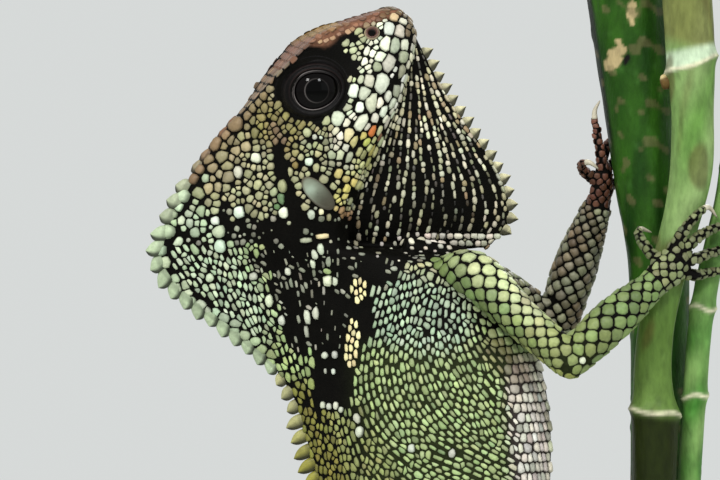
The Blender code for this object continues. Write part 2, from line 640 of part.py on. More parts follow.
def head_nodes():
    """The head with lids, mouth line, nostrils and ears, the casque, and the two eyes."""
    form = body_loft(0.0, HEAD_END, None, HEAD_SPACING, (0.0, GAP / 2), head=True)
    head = new_object("head", *form)
    casque = new_object("casque", *body_loft(6.0, HEAD_END, TRUNK_STATIONS, 0.8, (0.0, GAP / 2)))
    top, bottom = np.array(CASQUE_LINE_TOP), np.array(CASQUE_LINE_BOTTOM)
    along = (bottom - top) / np.linalg.norm(bottom - top)
    forward = np.array([-along[1], along[0]])
    cut = top - forward * GAP / 2
    clip(casque, (cut[0], 0, cut[1]), (forward[0], 0, forward[1]))
    keep_largest(casque)
    cut = top + forward * GAP / 2
    clip(head, (cut[0], 0, cut[1]), (-forward[0], 0, -forward[1]))
    boolean(casque, [*crest(BODY, 0, CROWN_CREST), *crest(BODY, 0, CASQUE_CREST)], "UNION")

    for sign, name in ((-1, "right"), (1, "left")):
        centre = (EYE_CENTRE[0], sign * EYE_CENTRE[1], EYE_CENTRE[2])
        ball, faces = ellipsoid(centre, [EYE_RADIUS] * 3)
        finish_node(new_object(f"eye_{name}", rolled(ball, 1.0), faces), "eye")
        lid, faces = ellipsoid(centre, [LID_RADIUS] * 3)
        boolean(head, [new_object("lid", rolled(lid, 1.0), faces)], "UNION")
        socket, faces = ellipsoid(centre, [EYE_RADIUS + GAP] * 3)
        socket = new_object("socket", rolled(socket, 1.0), faces)
        opening, faces = disc_cutter(
            (EYE_CENTRE[0], EYE_CENTRE[2]),
            *EYE_OPENING,
            EYE_OPENING_TILT,
            sign * (EYE_CENTRE[1] + 1.0),
            sign * (EYE_CENTRE[1] + LID_RADIUS + 2.0),
        )
        boolean(socket, [new_object("opening", rolled(opening, 1.0), faces)], "UNION")
        boolean(head, [socket], "DIFFERENCE")
        for (x, z), radii in (
            (EAR_CENTRE, (EAR_HALF_LENGTH, EAR_DEPTH, EAR_HALF_WIDTH)),
            (NOSTRIL_CENTRE, NOSTRIL_RADII),
        ):
            y = sign * (surface_y(x, z) + 0.2)
            tilt = EAR_TILT if radii[0] > 1 else NOSTRIL_TILT
            dish, faces = ellipsoid((x, y, z), radii, tilt, 12, 8)
            boolean(head, [new_object("dish", rolled(dish, 1.0), faces)], "DIFFERENCE")
    finish_node(head, "skin_dark")
    finish_node(casque, "skin_casque")


def pouch_node():
    """The throat pouch with its saw edge, cut back to the underside of the jaw and neck."""
    rings = [
        section_ring(POUCH, s, POUCH_STATIONS, weight=1.0)
        for s in np.linspace(0, len(POUCH) - 1, 17)
    ]
    pouch = new_object("throat_pouch", *loft(rings))
    boolean(pouch, crest(POUCH, 2, POUCH_CREST, weight=1.0), "UNION")
    for cutter in body_cutters("head", "neck"):
        boolean(pouch, [cutter], "DIFFERENCE")
    finish_node(pouch, "skin_dark")


def trunk_nodes():
    """Neck, torso, hips and the lengths of the tail, each with its share of the crest."""
    parts = [
        ("neck", HEAD_END, NECK_END, [NAPE_CREST], "skin_dark"),
        ("torso", NECK_END, TORSO_END, [FORE_BACK_CREST, BACK_CREST], "skin_green"),
        ("hips", TORSO_END, HIPS_END, [HIP_CREST], "skin_green"),
    ]
    for name, first, last, specs, material in parts:
        form = body_loft(first, last, TRUNK_STATIONS, TRUNK_SPACING, (GAP / 2, GAP / 2))
        node = new_object(name, *form)
        boolean(node, [spine for spec in specs for spine in crest(BODY, 0, spec)], "UNION")
        finish_node(node, material)
    for i, (first, last) in enumerate(zip(TAIL_CUTS, TAIL_CUTS[1:])):
        end_gap = GAP / 2 if i < len(TAIL_CUTS) - 2 else 0.0
        form = body_loft(first, last, TAIL_STATIONS, TAIL_SPACING, (GAP / 2, end_gap))
        node = new_object(f"tail_{i + 1}", *form)
        if i == 0:
            boolean(node, crest(BODY, 0, TAIL_CREST), "UNION")
        finish_node(node, "skin_green")


def line_through(points, count):
    """Points at equal distances along a smooth line through the given ones."""
    points = np.asarray(points, float)
    knots = np.concatenate([[0], np.cumsum(np.linalg.norm(np.diff(points, axis=0), axis=1))])
    fine = smooth_curve(knots, points, np.linspace(0, knots[-1], 300))
    run = np.concatenate([[0], np.cumsum(np.linalg.norm(np.diff(fine, axis=0), axis=1))])
    places = np.linspace(0, run[-1], count)
    return np.stack([np.interp(places, run, fine[:, k]) for k in range(3)], axis=1)


def limb_lines(points, radii):
    """Lines and radii of a limb's two lengths, which meet at the elbow or the knee."""
    bend = len(points) - 3
    upper = np.array(points[: bend + 1], float)
    lower = np.array(points[bend:], float)
    lines = []
    for part, sizes in ((upper, radii[: bend + 1]), (lower, radii[bend:])):
        knots = np.arange(len(part))
        places = np.linspace(0, knots[-1], LIMB_STATIONS)
        lines.append((smooth_curve(knots, part, places), smooth_curve(knots, sizes, places)[:, 0]))
    return lines


def unit(vector):
    return np.asarray(vector, float) / np.linalg.norm(vector)


def mitre(inward, outward):
    """The normal of the plane that shares a bend between the lengths before and after it."""
    return unit(unit(inward) + unit(outward))


def limb(names, side, points, radii, knuckles, grows_from):
    """Both lengths of a limb. A ball at each bend is shared between the lengths that meet there.

    The upper length is cut back to the body that it grows from.
    """
    material = "skin_green" if side == "right" else "skin_brown"
    (upper_line, upper_radii), (lower_line, lower_radii) = limb_lines(points, radii)
    bend = lower_line[0]
    across = mitre(upper_line[-1] - upper_line[-2], lower_line[1] - lower_line[0])
    ball, ball_faces = ellipsoid(bend, [lower_radii[0] * 1.03] * 3, 0.3, 12, 8)

    upper = new_object(f"{names[0]}_{side}", *tube(upper_line, upper_radii, LIMB_SIDES))
    boolean(upper, [new_object("ball", ball, ball_faces)], "UNION")
    clip(upper, bend - across * GAP / 2, across)
    for cutter in body_cutters(*grows_from):
        boolean(upper, [cutter], "DIFFERENCE")
    finish_node(upper, material)

    lower = new_object(f"{names[1]}_{side}", *tube(lower_line, lower_radii, LIMB_SIDES))
    boolean(lower, [new_object("ball", ball, ball_faces)], "UNION")
    boolean(lower, [wrist_ball(points, radii)], "UNION")
    clip(lower, bend + across * GAP / 2, -across)
    wrist, across = wrist_plane(points, knuckles)
    clip(lower, wrist - across * GAP / 2, across)
    keep_largest(lower)
    finish_node(lower, material)


def wrist_ball(points, radii):
    return new_object("ball", *ellipsoid(points[-1], [radii[-1] * 1.02] * 3, 0.3, 10, 8))


def wrist_plane(points, knuckles):
    """The centre of a wrist or ankle, and the normal of the plane between limb and hand."""
    lower = np.array(points[-3:], float)
    before, wrist = smooth_curve(np.arange(3), lower, [1.9, 2.0])
    return wrist, mitre(wrist - before, knuckles[0] - wrist)


def stem_at(line, z):
    """The centre (x, y) and the radius of a stem at a height."""
    table = np.array(line, float)[::-1]
    x, y, radius = smooth_curve(table[:, 2], table[:, [0, 1, 3]], z)[0]
    return x, y, radius


def round_stem(line, angle, z, clear):
    """A point beside a stem: `angle` in degrees round it, `clear` from its surface."""
    x, y, radius = stem_at(line, z)
    reach = radius + clear
    turn = math.radians(angle)
    return (x + reach * math.cos(turn), y + reach * math.sin(turn), z)


def digit(points, root_radius=1.05, tip_radius=0.72):
    """A finger or toe through its points, which ends in a thin, hooked claw."""
    line = line_through(points, DIGIT_STATIONS)
    radii = np.interp(
        np.arange(DIGIT_STATIONS),
        [0, DIGIT_STATIONS - 3, DIGIT_STATIONS - 2, DIGIT_STATIONS - 1],
        [root_radius, tip_radius, 0.42, 0.14],
    )
    return new_object("digit", *tube(line, radii, DIGIT_SIDES))


def grip(line, root, steps):
    """A digit from its root through (angle, z, clearance) steps round a stem."""
    return digit([root, *(round_stem(line, angle, z, clear) for angle, z, clear in steps)])


def palm(wrist, knuckles, radii, normal):
    """The palm or sole, a flat tube from the wrist to the knuckles. `normal` is its thin way."""
    line = line_through([wrist, *knuckles], 5)
    sizes = np.interp(np.linspace(0, 1, 5), np.linspace(0, 1, len(radii)), radii)
    return tube(line, sizes, LIMB_SIDES, PALM_FLATNESS, start=normal)


def hand_node(name, points, limb_radii, knuckles, radii, normal, digits):
    """A hand or foot: a ball at the wrist, a flat palm and five digits."""
    obj = new_object(name, *palm(points[-1], knuckles, radii, normal))
    for piece in (wrist_ball(points, limb_radii), *digits):
        boolean(obj, [piece], "UNION")
    wrist, across = wrist_plane(points, knuckles)
    clip(obj, wrist + across * GAP / 2, -across)
    keep_largest(obj)
    finish_node(obj, "skin_brown")


def hands_and_feet():
    """Each hand and foot grips the stem beside it. Angles run from +X through +Y."""
    cane, stem, shoot = CANE_LINE, STEM_LINE, SHOOT_LINE
    hand_node(
        "hand_right", ARM_RIGHT, ARM_RADII, HAND_RIGHT, (2.5, 3.0, 2.5), (0, -1, 0),
        [
            digit([(48.0, -8.4, -4.0), (45.7, -7.2, -1.4), (44.5, -5.2, 0.8), (44.9, -2.6, 1.8),
                   (46.6, -1.5, 1.2)]),
            digit([(49.2, -8.4, -2.4), (51.6, -8.6, 1.6), (53.9, -7.2, 4.3), (55.6, -5.0, 5.2),
                   (57.0, -4.0, 3.6)]),
            digit([(50.4, -8.2, -2.6), (53.0, -7.6, -0.2), (55.8, -5.4, 1.6), (58.6, -4.4, 2.3),
                   (60.6, -3.0, 2.0), (60.9, -0.8, 1.2)]),
            digit([(50.6, -8.2, -3.6), (53.2, -7.4, -3.0), (55.6, -5.0, -2.2), (58.0, -3.6, -1.6),
                   (59.8, -2.0, -1.5), (59.9, 0.2, -2.0)]),
            digit([(50.0, -8.4, -4.8), (52.6, -7.2, -5.6), (54.8, -4.6, -5.4), (57.2, -3.4, -5.0),
                   (58.8, -1.8, -5.0), (58.8, 0.2, -5.4)]),
        ],
    )
    hand_node(
        "hand_left", ARM_LEFT, ARM_RADII, HAND_LEFT, (2.4, 2.5, 2.0), (-0.75, 0.66, 0),
        [
            digit([(38.2, 8.0, 9.6), (36.0, 6.0, 11.0), (35.6, 3.8, 12.2), (36.8, 2.2, 12.4),
                   (38.2, 2.2, 11.4)]),
            grip(
                stem, (39.0, 7.8, 10.6),
                [(183, 14.0, 1.5), (184, 17.6, 1.6), (186, 20.6, 1.5), (188, 22.4, 0.4)],
            ),
            grip(
                stem, (39.4, 8.6, 10.8),
                [(158, 13.8, 1.4), (134, 16.0, 1.4), (106, 17.6, 1.4), (88, 17.2, 0.5)],
            ),
            grip(
                stem, (39.4, 9.0, 10.0),
                [(146, 11.8, 1.5), (120, 13.0, 1.4), (90, 13.6, 1.4), (74, 13.2, 0.5)],
            ),
            grip(
                stem, (39.2, 9.4, 9.0),
                [(142, 9.0, 1.6), (118, 9.2, 1.4), (94, 9.0, 1.3), (78, 8.6, 0.5)],
            ),
        ],
    )
    hand_node(
        "foot_right", LEG_RIGHT, LEG_RADII, FOOT_RIGHT, (2.1, 2.3, 2.0), (-0.64, -0.77, 0),
        [
            grip(cane, (42.6, -8.8, -74.0), [(-142, -71.4, 1.4), (-158, -69.6, 1.2), (-170, -69.0, 0.5)]),
            grip(cane, (43.1, -8.9, -73.0), [(-128, -68.4, 1.5), (-132, -64.8, 1.3), (-136, -63.2, 0.5)]),
            grip(cane, (43.4, -8.9, -72.8), [(-114, -67.4, 1.5), (-106, -62.4, 1.4), (-98, -59.4, 0.5)]),
            grip(
                cane, (43.6, -9.1, -73.4),
                [(-102, -68.0, 1.6), (-80, -62.4, 1.6), (-58, -57.4, 1.4), (-46, -56.2, 0.5)],
            ),
            grip(
                cane, (43.3, -9.7, -75.2),
                [(-100, -73.4, 1.9), (-72, -71.4, 1.7), (-46, -70.6, 1.4), (-32, -71.2, 0.5)],
            ),
        ],
    )
    hand_node(
        "foot_left", LEG_LEFT, LEG_RADII, FOOT_LEFT, (2.1, 2.3, 2.0), (-0.64, 0.77, 0),
        [
            grip(stem, (42.2, 14.4, -76.6), [(150, -74.0, 1.4), (162, -72.2, 1.2), (172, -71.6, 0.5)]),
            grip(stem, (42.6, 14.8, -75.4), [(134, -71.0, 1.5), (138, -67.6, 1.3), (142, -66.2, 0.5)]),
            grip(stem, (43.0, 15.0, -75.2), [(122, -70.0, 1.5), (114, -65.0, 1.4), (108, -62.2, 0.5)]),
            grip(
                stem, (43.2, 15.2, -75.8),
                [(112, -70.4, 1.7), (92, -65.0, 1.5), (72, -60.4, 1.4), (60, -59.2, 0.5)],
            ),
            grip(
                stem, (42.8, 15.8, -77.6),
                [(108, -75.8, 2.0), (84, -74.0, 1.7), (62, -73.2, 1.4), (48, -73.8, 0.5)],
            ),
        ],
    )


def stem_tube(line, rings, spacing, sides):
    """A stem, with a raised ring at each of its joints."""
    heights = list(np.linspace(line[-1][2], line[0][2], round((line[0][2] - line[-1][2]) / spacing)))
    for ring in rings:
        heights = [z for z in heights if abs(z - ring) > 0.6 * spacing or z in (heights[0], heights[-1])]
        heights += [ring + d * CANE_RING_HALF_LENGTH for d in (-2.2, -0.7, 0.0, 0.7, 2.2)]
    points, radii = [], []
    for z in sorted(heights):
        x, y, radius = stem_at(line, z)
        points.append((x, y, z))
        rise = sum(math.exp(-((z - ring) / CANE_RING_HALF_LENGTH) ** 2) for ring in rings)
        radii.append(radius + CANE_RING_HEIGHT * rise * radius / 3.8)
    return tube(points, radii, sides)


def perch_nodes():
    """The cane with its side shoot, and the thicker dark stem behind it."""
    cane = new_object("perch_cane", *stem_tube(CANE_LINE, CANE_RINGS, 9.0, 14))
    shoot = new_object("shoot", *stem_tube(SHOOT_LINE, SHOOT_RINGS, 12.0, 8))
    boolean(cane, [shoot], "UNION")
    finish_node(cane, "cane")
    finish_node(new_object("perch_stem", *stem_tube(STEM_LINE, (), 11.0, 16)), "stem")


def stand_nodes():
    """The flat base and the two rods under the stems."""
    width, depth, height = BASE_SIZE
    outline = []
    for corner, (sx, sy) in enumerate(((1, 1), (-1, 1), (-1, -1), (1, -1))):
        for step in range(7):
            t = math.radians(90 * corner + 15 * step)
            outline.append((
                sx * (width / 2 - BASE_CORNER_RADIUS) + BASE_CORNER_RADIUS * math.cos(t),
                sy * (depth / 2 - BASE_CORNER_RADIUS) + BASE_CORNER_RADIUS * math.sin(t),
            ))
    floor = -FRAME_HEIGHT
    count = len(outline)
    levels = [(0.0, 0.0), (height - BASE_EDGE_BEVEL, 0.0), (height, BASE_EDGE_BEVEL)]
    verts = []
    for z, inset in levels:
        for x, y in outline:
            verts.append((
                STAND_CENTRE_X + x * (1 - 2 * inset / width),
                y * (1 - 2 * inset / depth),
                floor + z,
            ))
    faces = [tuple(range(count))[::-1], tuple(2 * count + j for j in range(count))]
    for level in range(2):
        for j in range(count):
            k = (j + 1) % count
            faces.append((level * count + j, level * count + k,
                          (level + 1) * count + k, (level + 1) * count + j))
    finish_node(new_object("stand_base", verts, faces), "stand_wood")
    for name, line in (("stand_rod_cane", CANE_LINE), ("stand_rod_stem", STEM_LINE)):
        x, y, z, _ = line[-1]
        ends = [(x, y, floor + height + GAP), (x, y, z - GAP)]
        finish_node(new_object(name, *tube(ends, (ROD_RADIUS, ROD_RADIUS), 16)), "stand_steel")


def finish_node(obj, material_name):
    """Gives a node its material, triangles and smooth shading."""
    material = bpy.data.materials.get(material_name)
    if material is None:
        colour, roughness, metallic = MATERIALS[material_name]
        material = bpy.data.materials.new(material_name)
        material.use_nodes = True
        shader = material.node_tree.nodes["Principled BSDF"]
        shader.inputs["Base Color"].default_value = (*colour, 1.0)
        shader.inputs["Roughness"].default_value = roughness
        shader.inputs["Metallic"].default_value = metallic
    obj.data.materials.clear()
    obj.data.materials.append(material)
    obj.data.shade_smooth()
    obj.data.set_sharp_from_angle(angle=math.radians(50.0))


def main():
    for obj in list(bpy.data.objects):
        bpy.data.objects.remove(obj)
    head_nodes()
    pouch_node()
    trunk_nodes()
    arm, leg = ("upper_arm", "forearm"), ("thigh", "shin")
    for side, arm_line, hand, leg_line, foot in (
        ("right", ARM_RIGHT, HAND_RIGHT, LEG_RIGHT, FOOT_RIGHT),
        ("left", ARM_LEFT, HAND_LEFT, LEG_LEFT, FOOT_LEFT),
    ):
        limb(arm, side, arm_line, ARM_RADII, hand, ("neck", "torso"))
        limb(leg, side, leg_line, LEG_RADII, foot, ("torso", "hips", "tail_1"))
    hands_and_feet()
    perch_nodes()
    stand_nodes()


main()
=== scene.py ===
"""The looks of a life-size helmeted iguana that clings to two green stems on a display stand.

The animal's form comes from the same sections and lines as its solids. One skin covers it, and
every scale is a small solid dome over the skin. Lengths are in millimetres in the animal's
frame: X towards the stems and the belly, Z up towards the snout, -Y towards its right side.
"""

import math

import bmesh
import bpy
import numpy as np
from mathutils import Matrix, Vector
from mathutils.bvhtree import BVHTree
from mathutils.kdtree import KDTree


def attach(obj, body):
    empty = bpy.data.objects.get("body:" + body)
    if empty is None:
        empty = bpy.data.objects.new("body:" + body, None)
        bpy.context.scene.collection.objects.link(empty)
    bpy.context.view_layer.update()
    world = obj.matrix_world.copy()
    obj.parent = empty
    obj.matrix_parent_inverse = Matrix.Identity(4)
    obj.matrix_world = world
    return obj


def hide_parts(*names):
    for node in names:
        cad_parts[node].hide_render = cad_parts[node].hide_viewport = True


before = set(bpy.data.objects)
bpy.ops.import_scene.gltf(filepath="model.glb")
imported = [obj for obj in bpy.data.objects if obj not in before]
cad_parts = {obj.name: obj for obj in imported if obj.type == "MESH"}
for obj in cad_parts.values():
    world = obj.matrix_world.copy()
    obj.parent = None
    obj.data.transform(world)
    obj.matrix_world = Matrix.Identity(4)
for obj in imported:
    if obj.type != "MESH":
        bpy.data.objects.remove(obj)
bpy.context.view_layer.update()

RANDOM = np.random.default_rng(7)
MM = 0.001
SIDES = (-1.0, 1.0)

# The stand's centre in the animal's frame, and the height of that frame above the floor.
STAND_CENTRE_X = 12.0
FRAME_HEIGHT = 338.0

# The head is rolled towards the animal's right about the line from ear to snout.
HEAD_CENTRE = np.array([-8.0, 0.0, 12.0])
HEAD_AXIS = np.array([0.417, 0.0, 0.909])
HEAD_ACROSS = np.array([-0.909, 0.0, 0.417])
HEAD_ROLL = math.radians(8.0)
ROLL_FULL_SECTION = 13.0
ROLL_END_SECTION = 20.0

# Heights on a section, as shares of its depth, where the half-widths below are given.
WIDTH_HEIGHTS = (0.0, 0.15, 0.4, 0.65, 0.9, 1.0)
LEAST_HALF_WIDTH = 0.05

# Each section: top x, top z, bottom x, bottom z, sideways shift, depth of the forehead's trough,
# then the half-width at each of WIDTH_HEIGHTS.
HEAD_SECTIONS = [
    (6.2, 37.1, 7.6, 36.0, 0, 0.0, 0.7, 0.8, 0.9, 0.9, 0.8, 0.4),
    (5.1, 37.4, 8.4, 34.9, 0, 0.1, 2.0, 2.3, 2.6, 2.6, 2.0, 1.2),
    (3.5, 37.1, 8.9, 33.2, 0, 0.4, 3.0, 3.4, 3.9, 4.2, 3.6, 2.2),
    (0.6, 36.2, 8.6, 30.7, 0, 0.8, 3.8, 4.3, 5.0, 5.5, 4.8, 3.0),
    (-2.9, 35.1, 8.0, 27.8, 0, 1.2, 4.8, 5.2, 6.0, 6.6, 5.8, 3.6),
    (-6.3, 34.0, 7.0, 25.0, 0, 1.8, 7.0, 6.8, 6.8, 7.6, 6.6, 4.0),
    (-9.5, 32.0, 6.1, 22.1, 0, 2.2, 8.8, 8.2, 7.8, 8.4, 7.2, 4.2),
    (-12.3, 29.2, 4.8, 19.2, 0, 2.2, 8.8, 8.8, 8.4, 9.0, 7.6, 4.4),
    (-15.3, 25.8, 3.5, 16.3, 0, 1.6, 6.5, 7.8, 8.8, 9.4, 8.0, 4.4),
    (-17.9, 22.1, 2.2, 13.4, 0, 0.6, 3.8, 5.6, 8.4, 9.6, 8.2, 4.4),
    (-20.9, 18.5, 1.0, 10.6, 0, 0.1, 2.0, 3.8, 7.6, 9.6, 8.2, 4.4),
    (-23.8, 14.8, -0.3, 7.7, 0, 0.0, 1.1, 2.6, 6.6, 9.2, 8.0, 4.4),
    (-26.6, 11.0, -1.4, 4.8, 0, 0.0, 0.8, 1.9, 5.4, 8.6, 7.6, 4.4),
    (-29.0, 6.9, -2.0, 1.9, 0, 0.0, 0.7, 1.6, 4.8, 8.0, 7.2, 4.4),
    (-31.0, 2.4, -1.4, -0.7, 0, 0.0, 0.7, 1.4, 4.2, 7.4, 7.0, 4.4),
]
TRUNK_SECTIONS = [
    (-32.4, -2.8, 3.4, -1.2, 0, 0, 0.7, 1.4, 4.0, 7.2, 7.2, 4.4),
    (-29.8, -7.6, 11.2, -1.9, 0, 0, 0.7, 1.5, 4.2, 7.4, 7.6, 4.4),
    (-24.4, -12.0, 18.2, -3.9, 0, 0, 0.7, 1.9, 5.2, 8.2, 8.2, 4.4),
    (-18.2, -16.6, 23.8, -10.0, 0, 0, 0.8, 2.5, 6.6, 9.2, 8.6, 4.4),
    (-13.2, -21.2, 28.0, -16.8, 0, 0, 0.8, 3.2, 8.0, 10.2, 9.0, 4.4),
    (-10.5, -26.0, 29.9, -23.7, 0, 0, 0.8, 4.0, 9.0, 11.2, 9.2, 4.4),
    (-8.9, -31.4, 30.7, -30.4, 0, 0, 0.8, 4.6, 9.8, 12.0, 9.2, 4.2),
    (-7.2, -36.9, 30.7, -36.8, 0, 0, 0.8, 5.0, 10.4, 12.4, 9.2, 4.2),
    (-4.8, -43.6, 30.4, -43.8, 0, 0, 0.8, 5.2, 10.6, 12.4, 9.0, 4.0),
    (-1.4, -51.2, 30.4, -50.0, 0, 0, 0.8, 5.2, 10.2, 11.6, 8.4, 3.8),
    (2.9, -59.1, 30.6, -56.4, 0, 0, 0.8, 5.0, 9.4, 10.4, 7.6, 3.6),
    (8.1, -66.7, 31.4, -63.0, 0, 0, 0.8, 4.6, 8.4, 9.0, 6.8, 3.4),
    (14.0, -73.4, 32.8, -69.6, 0, 0, 0.8, 4.4, 7.6, 8.0, 6.0, 3.0),
    (19.8, -79.5, 34.7, -76.4, 0, 0, 0.8, 4.2, 6.8, 7.0, 5.2, 2.6),
    (24.9, -86.4, 37.0, -84.2, 0, 0, 0.8, 3.6, 5.6, 5.8, 4.2, 2.2),
]

# The tail's line (x, y, z) after the last trunk section, and its depth at each point.
TAIL_LINE = [
    (33.8, 0.0, -96.0), (35.6, 0.3, -108.5), (36.0, 0.6, -122.5), (35.2, 0.8, -138.0),
    (33.4, 0.6, -154.0), (31.2, 0.2, -170.0), (29.0, -0.6, -187.0), (27.4, -1.6, -205.0),
    (26.6, -2.8, -223.0), (26.8, -4.0, -241.0), (27.6, -4.8, -259.0), (27.6, -5.0, -277.0),
    (25.0, -4.6, -294.0), (18.6, -3.8, -308.0), (9.6, -3.0, -315.5), (0.5, -2.4, -315.0),
    (-6.0, -2.0, -309.5),
]
TAIL_DEPTHS = (11.2, 9.2, 8.0, 7.1, 6.4, 5.8, 5.3, 4.8, 4.4, 4.0, 3.6, 3.2, 2.8, 2.4, 2.0, 1.7, 1.3)
TAIL_WIDTH_SHARE = 0.42
TAIL_PROFILE = (0.16, 0.62, 0.96, 1.0, 0.72, 0.34)

# How far a section's top rises at its centre, as a share of its half-width there.
TOP_ROUNDNESS = 0.2

# The line of the mouth: its height on the head's sections, where it ends, and its groove.
MOUTH_HEIGHTS = (0.56, 0.6, 0.65, 0.71, 0.75, 0.78, 0.8, 0.81, 0.81, 0.8, 0.8, 0.8, 0.8, 0.8, 0.8)
MOUTH_CORNER = 9.5
MOUTH_GROOVE_DEPTH = 0.55
MOUTH_GROOVE_HALF_WIDTH = 0.35
LIP_SWELL = 0.25

# Eyes on the head before its roll, and the tilts of the long ways of ear and nostril.
EYE_CENTRE = (-8.1, 5.4, 24.3)
EYE_RADIUS = 4.7
LID_RADIUS = 5.6
EYE_OPENING = (3.9, 3.45)
EYE_OPENING_TILT = 0.4
EAR_TILT = math.radians(-45.0)
NOSTRIL_TILT = 0.2

# The throat pouch, from the chin to its rear end, in the same form as the body's sections.
POUCH_SECTIONS = [
    (7.4, 33.8, 9.2, 32.2, 0, 0, 0.9, 0.9, 0.9, 0.8, 0.7, 0.5),
    (6.6, 28.8, 11.2, 28.5, 0, 0, 2.4, 2.2, 1.8, 1.4, 0.9, 0.5),
    (5.4, 23.7, 13.8, 23.7, 0, 0, 3.2, 2.9, 2.4, 1.8, 1.0, 0.5),
    (3.6, 18.6, 17.0, 19.0, 0, 0, 3.4, 3.1, 2.6, 2.0, 1.1, 0.5),
    (1.7, 13.6, 20.3, 14.4, 0, 0, 3.4, 3.2, 2.7, 2.1, 1.1, 0.5),
    (0.1, 9.2, 23.0, 9.7, 0, 0, 3.4, 3.2, 2.7, 2.1, 1.1, 0.5),
    (-1.2, 5.2, 24.2, 5.3, 0, 0, 3.0, 2.9, 2.5, 1.9, 1.0, 0.5),
    (-1.6, 2.0, 23.6, 1.8, 0, 0, 2.2, 2.1, 1.8, 1.4, 0.8, 0.5),
    (-1.4, -1.0, 20.6, -1.5, 0, 0, 0.8, 0.8, 0.8, 0.7, 0.6, 0.4),
]

# Crests: first and last section, spacing, height at the first and at the last spine,
# length of the root, thickness and lean.
CROWN_CREST = (9.6, 12.1, 2.4, 0.4, 0.7, 1.9, 0.9, 0.1)
CASQUE_CREST = (12.3, 14.0, 2.5, 1.3, 1.7, 2.1, 1.1, 0.2)
NAPE_CREST = (14.0, 19.0, 2.4, 1.8, 1.3, 2.0, 1.1, 0.3)
FORE_BACK_CREST = (19.0, 21.2, 2.2, 1.4, 2.5, 1.6, 1.0, 0.1)
BACK_CREST = (21.2, 25.5, 2.2, 2.6, 2.4, 1.6, 1.0, 0.1)
HIP_CREST = (25.5, 29.0, 2.3, 2.3, 1.4, 1.8, 1.0, 0.2)
TAIL_CREST = (29.0, 33.0, 3.2, 1.3, 0.5, 2.0, 0.8, 0.3)
POUCH_CREST = (0.3, 7.4, 2.2, 1.5, 1.2, 1.8, 1.0, -0.1)
SPINE_SINK = 0.9
CREST_END_MARGIN = 0.45

# Limbs of the right side, which the camera side shows, and of the left side: points and radii.
ARM_RIGHT = [(13.5, -3.5, -5.6), (18.4, -7.8, -5.6), (25.5, -11.0, -12.4), (33.3, -13.0, -19.2),
             (40.0, -11.6, -12.8), (46.8, -9.2, -6.9)]
ARM_LEFT = [(13.5, 3.5, -6.0), (19.5, 7.8, -7.0), (26.2, 11.5, -10.4), (31.4, 14.0, -15.4),
            (34.6, 11.8, -4.6), (38.1, 9.4, 5.2)]
ARM_RADII = (3.2, 3.9, 3.4, 3.1, 3.6, 2.5)
LEG_RIGHT = [(24.0, -3.0, -77.0), (26.0, -7.8, -76.0), (25.0, -16.5, -67.0), (25.5, -23.6, -58.8),
             (33.8, -18.4, -67.4), (40.8, -12.4, -78.0)]
LEG_LEFT = [(24.0, 3.0, -77.0), (26.0, 7.8, -76.0), (24.6, 17.0, -68.0), (24.8, 24.6, -60.6),
            (33.0, 21.2, -69.6), (39.6, 16.8, -80.4)]
LEG_RADII = (4.6, 5.1, 4.6, 3.1, 3.3, 2.0)
LIMBS = (
    ("arm_right", ARM_RIGHT, ARM_RADII), ("arm_left", ARM_LEFT, ARM_RADII),
    ("leg_right", LEG_RIGHT, LEG_RADII), ("leg_left", LEG_LEFT, LEG_RADII),
)
# Wrist or ankle and two points along the palm or sole, its radii, and its thin way.
PALMS = (
    ("hand_right", (ARM_RIGHT[-1], (48.8, -8.7, -4.9), (50.4, -8.3, -3.3)), (2.5, 3.0, 2.5), (0, -1, 0)),
    ("hand_left", (ARM_LEFT[-1], (38.9, 8.6, 8.0), (39.2, 8.2, 10.6)), (2.4, 2.5, 2.0), (-0.75, 0.66, 0)),
    ("foot_right", (LEG_RIGHT[-1], (42.2, -10.6, -76.0), (43.2, -8.9, -72.8)), (2.1, 2.3, 2.0),
     (-0.64, -0.77, 0)),
    ("foot_left", (LEG_LEFT[-1], (41.2, 16.0, -78.4), (42.8, 14.8, -75.0)), (2.1, 2.3, 2.0),
     (-0.64, 0.77, 0)),
)
PALM_FLATNESS = 0.6
# How many points each limb length, palm and digit has.
LIMB_STEPS = 36
PALM_STEPS = 16
DIGIT_STEPS = 40

# The stems: centre line (x, y, z) with its radius.
CANE_LINE = [(51.9, -3, 48, 4.0), (52.3, -3, 38, 4.1), (52.8, -3, 29, 4.0), (53.1, -3, 20, 3.5),
             (53.0, -3, 12, 3.5), (51.8, -3, 5, 3.2), (50.2, -3, -1, 3.05), (47.6, -3, -12, 3.05),
             (46.8, -3, -19, 3.05), (46.8, -3, -24.5, 3.4), (47.1, -3, -27.5, 3.8),
             (47.1, -3, -38, 3.6), (47.2, -3, -62, 3.5), (47.2, -3, -98, 3.6),
             (47.2, -3, -103, 3.8), (47.2, -3, -128, 3.7)]
SHOOT_LINE = [(60.6, -1.6, 48, 1.9), (60.5, -1.4, 26, 1.9), (59.2, -1.2, 10, 2.0),
              (57.6, -1.0, 2, 2.0), (55.6, -0.6, -6.4, 2.0), (54.4, -0.2, -14, 2.0),
              (53.5, 0.4, -26, 2.0), (52.7, 0.9, -38, 2.0), (52.7, 1.0, -62, 2.0),
              (52.3, 0.4, -84, 2.0), (50.6, -1.2, -97, 2.1), (48.0, -2.6, -104, 2.2)]
STEM_LINE = [(40.9, 7.4, 48, 5.7), (42.5, 7.4, 36, 5.7), (44.9, 7.4, 19, 5.5), (46.4, 7.4, 8, 5.4),
             (47.9, 7.4, -3, 5.0), (48.2, 7.6, -15, 4.8), (48.2, 8, -38, 4.8), (48.2, 8, -75, 4.8),
             (48.2, 8, -128, 4.9)]
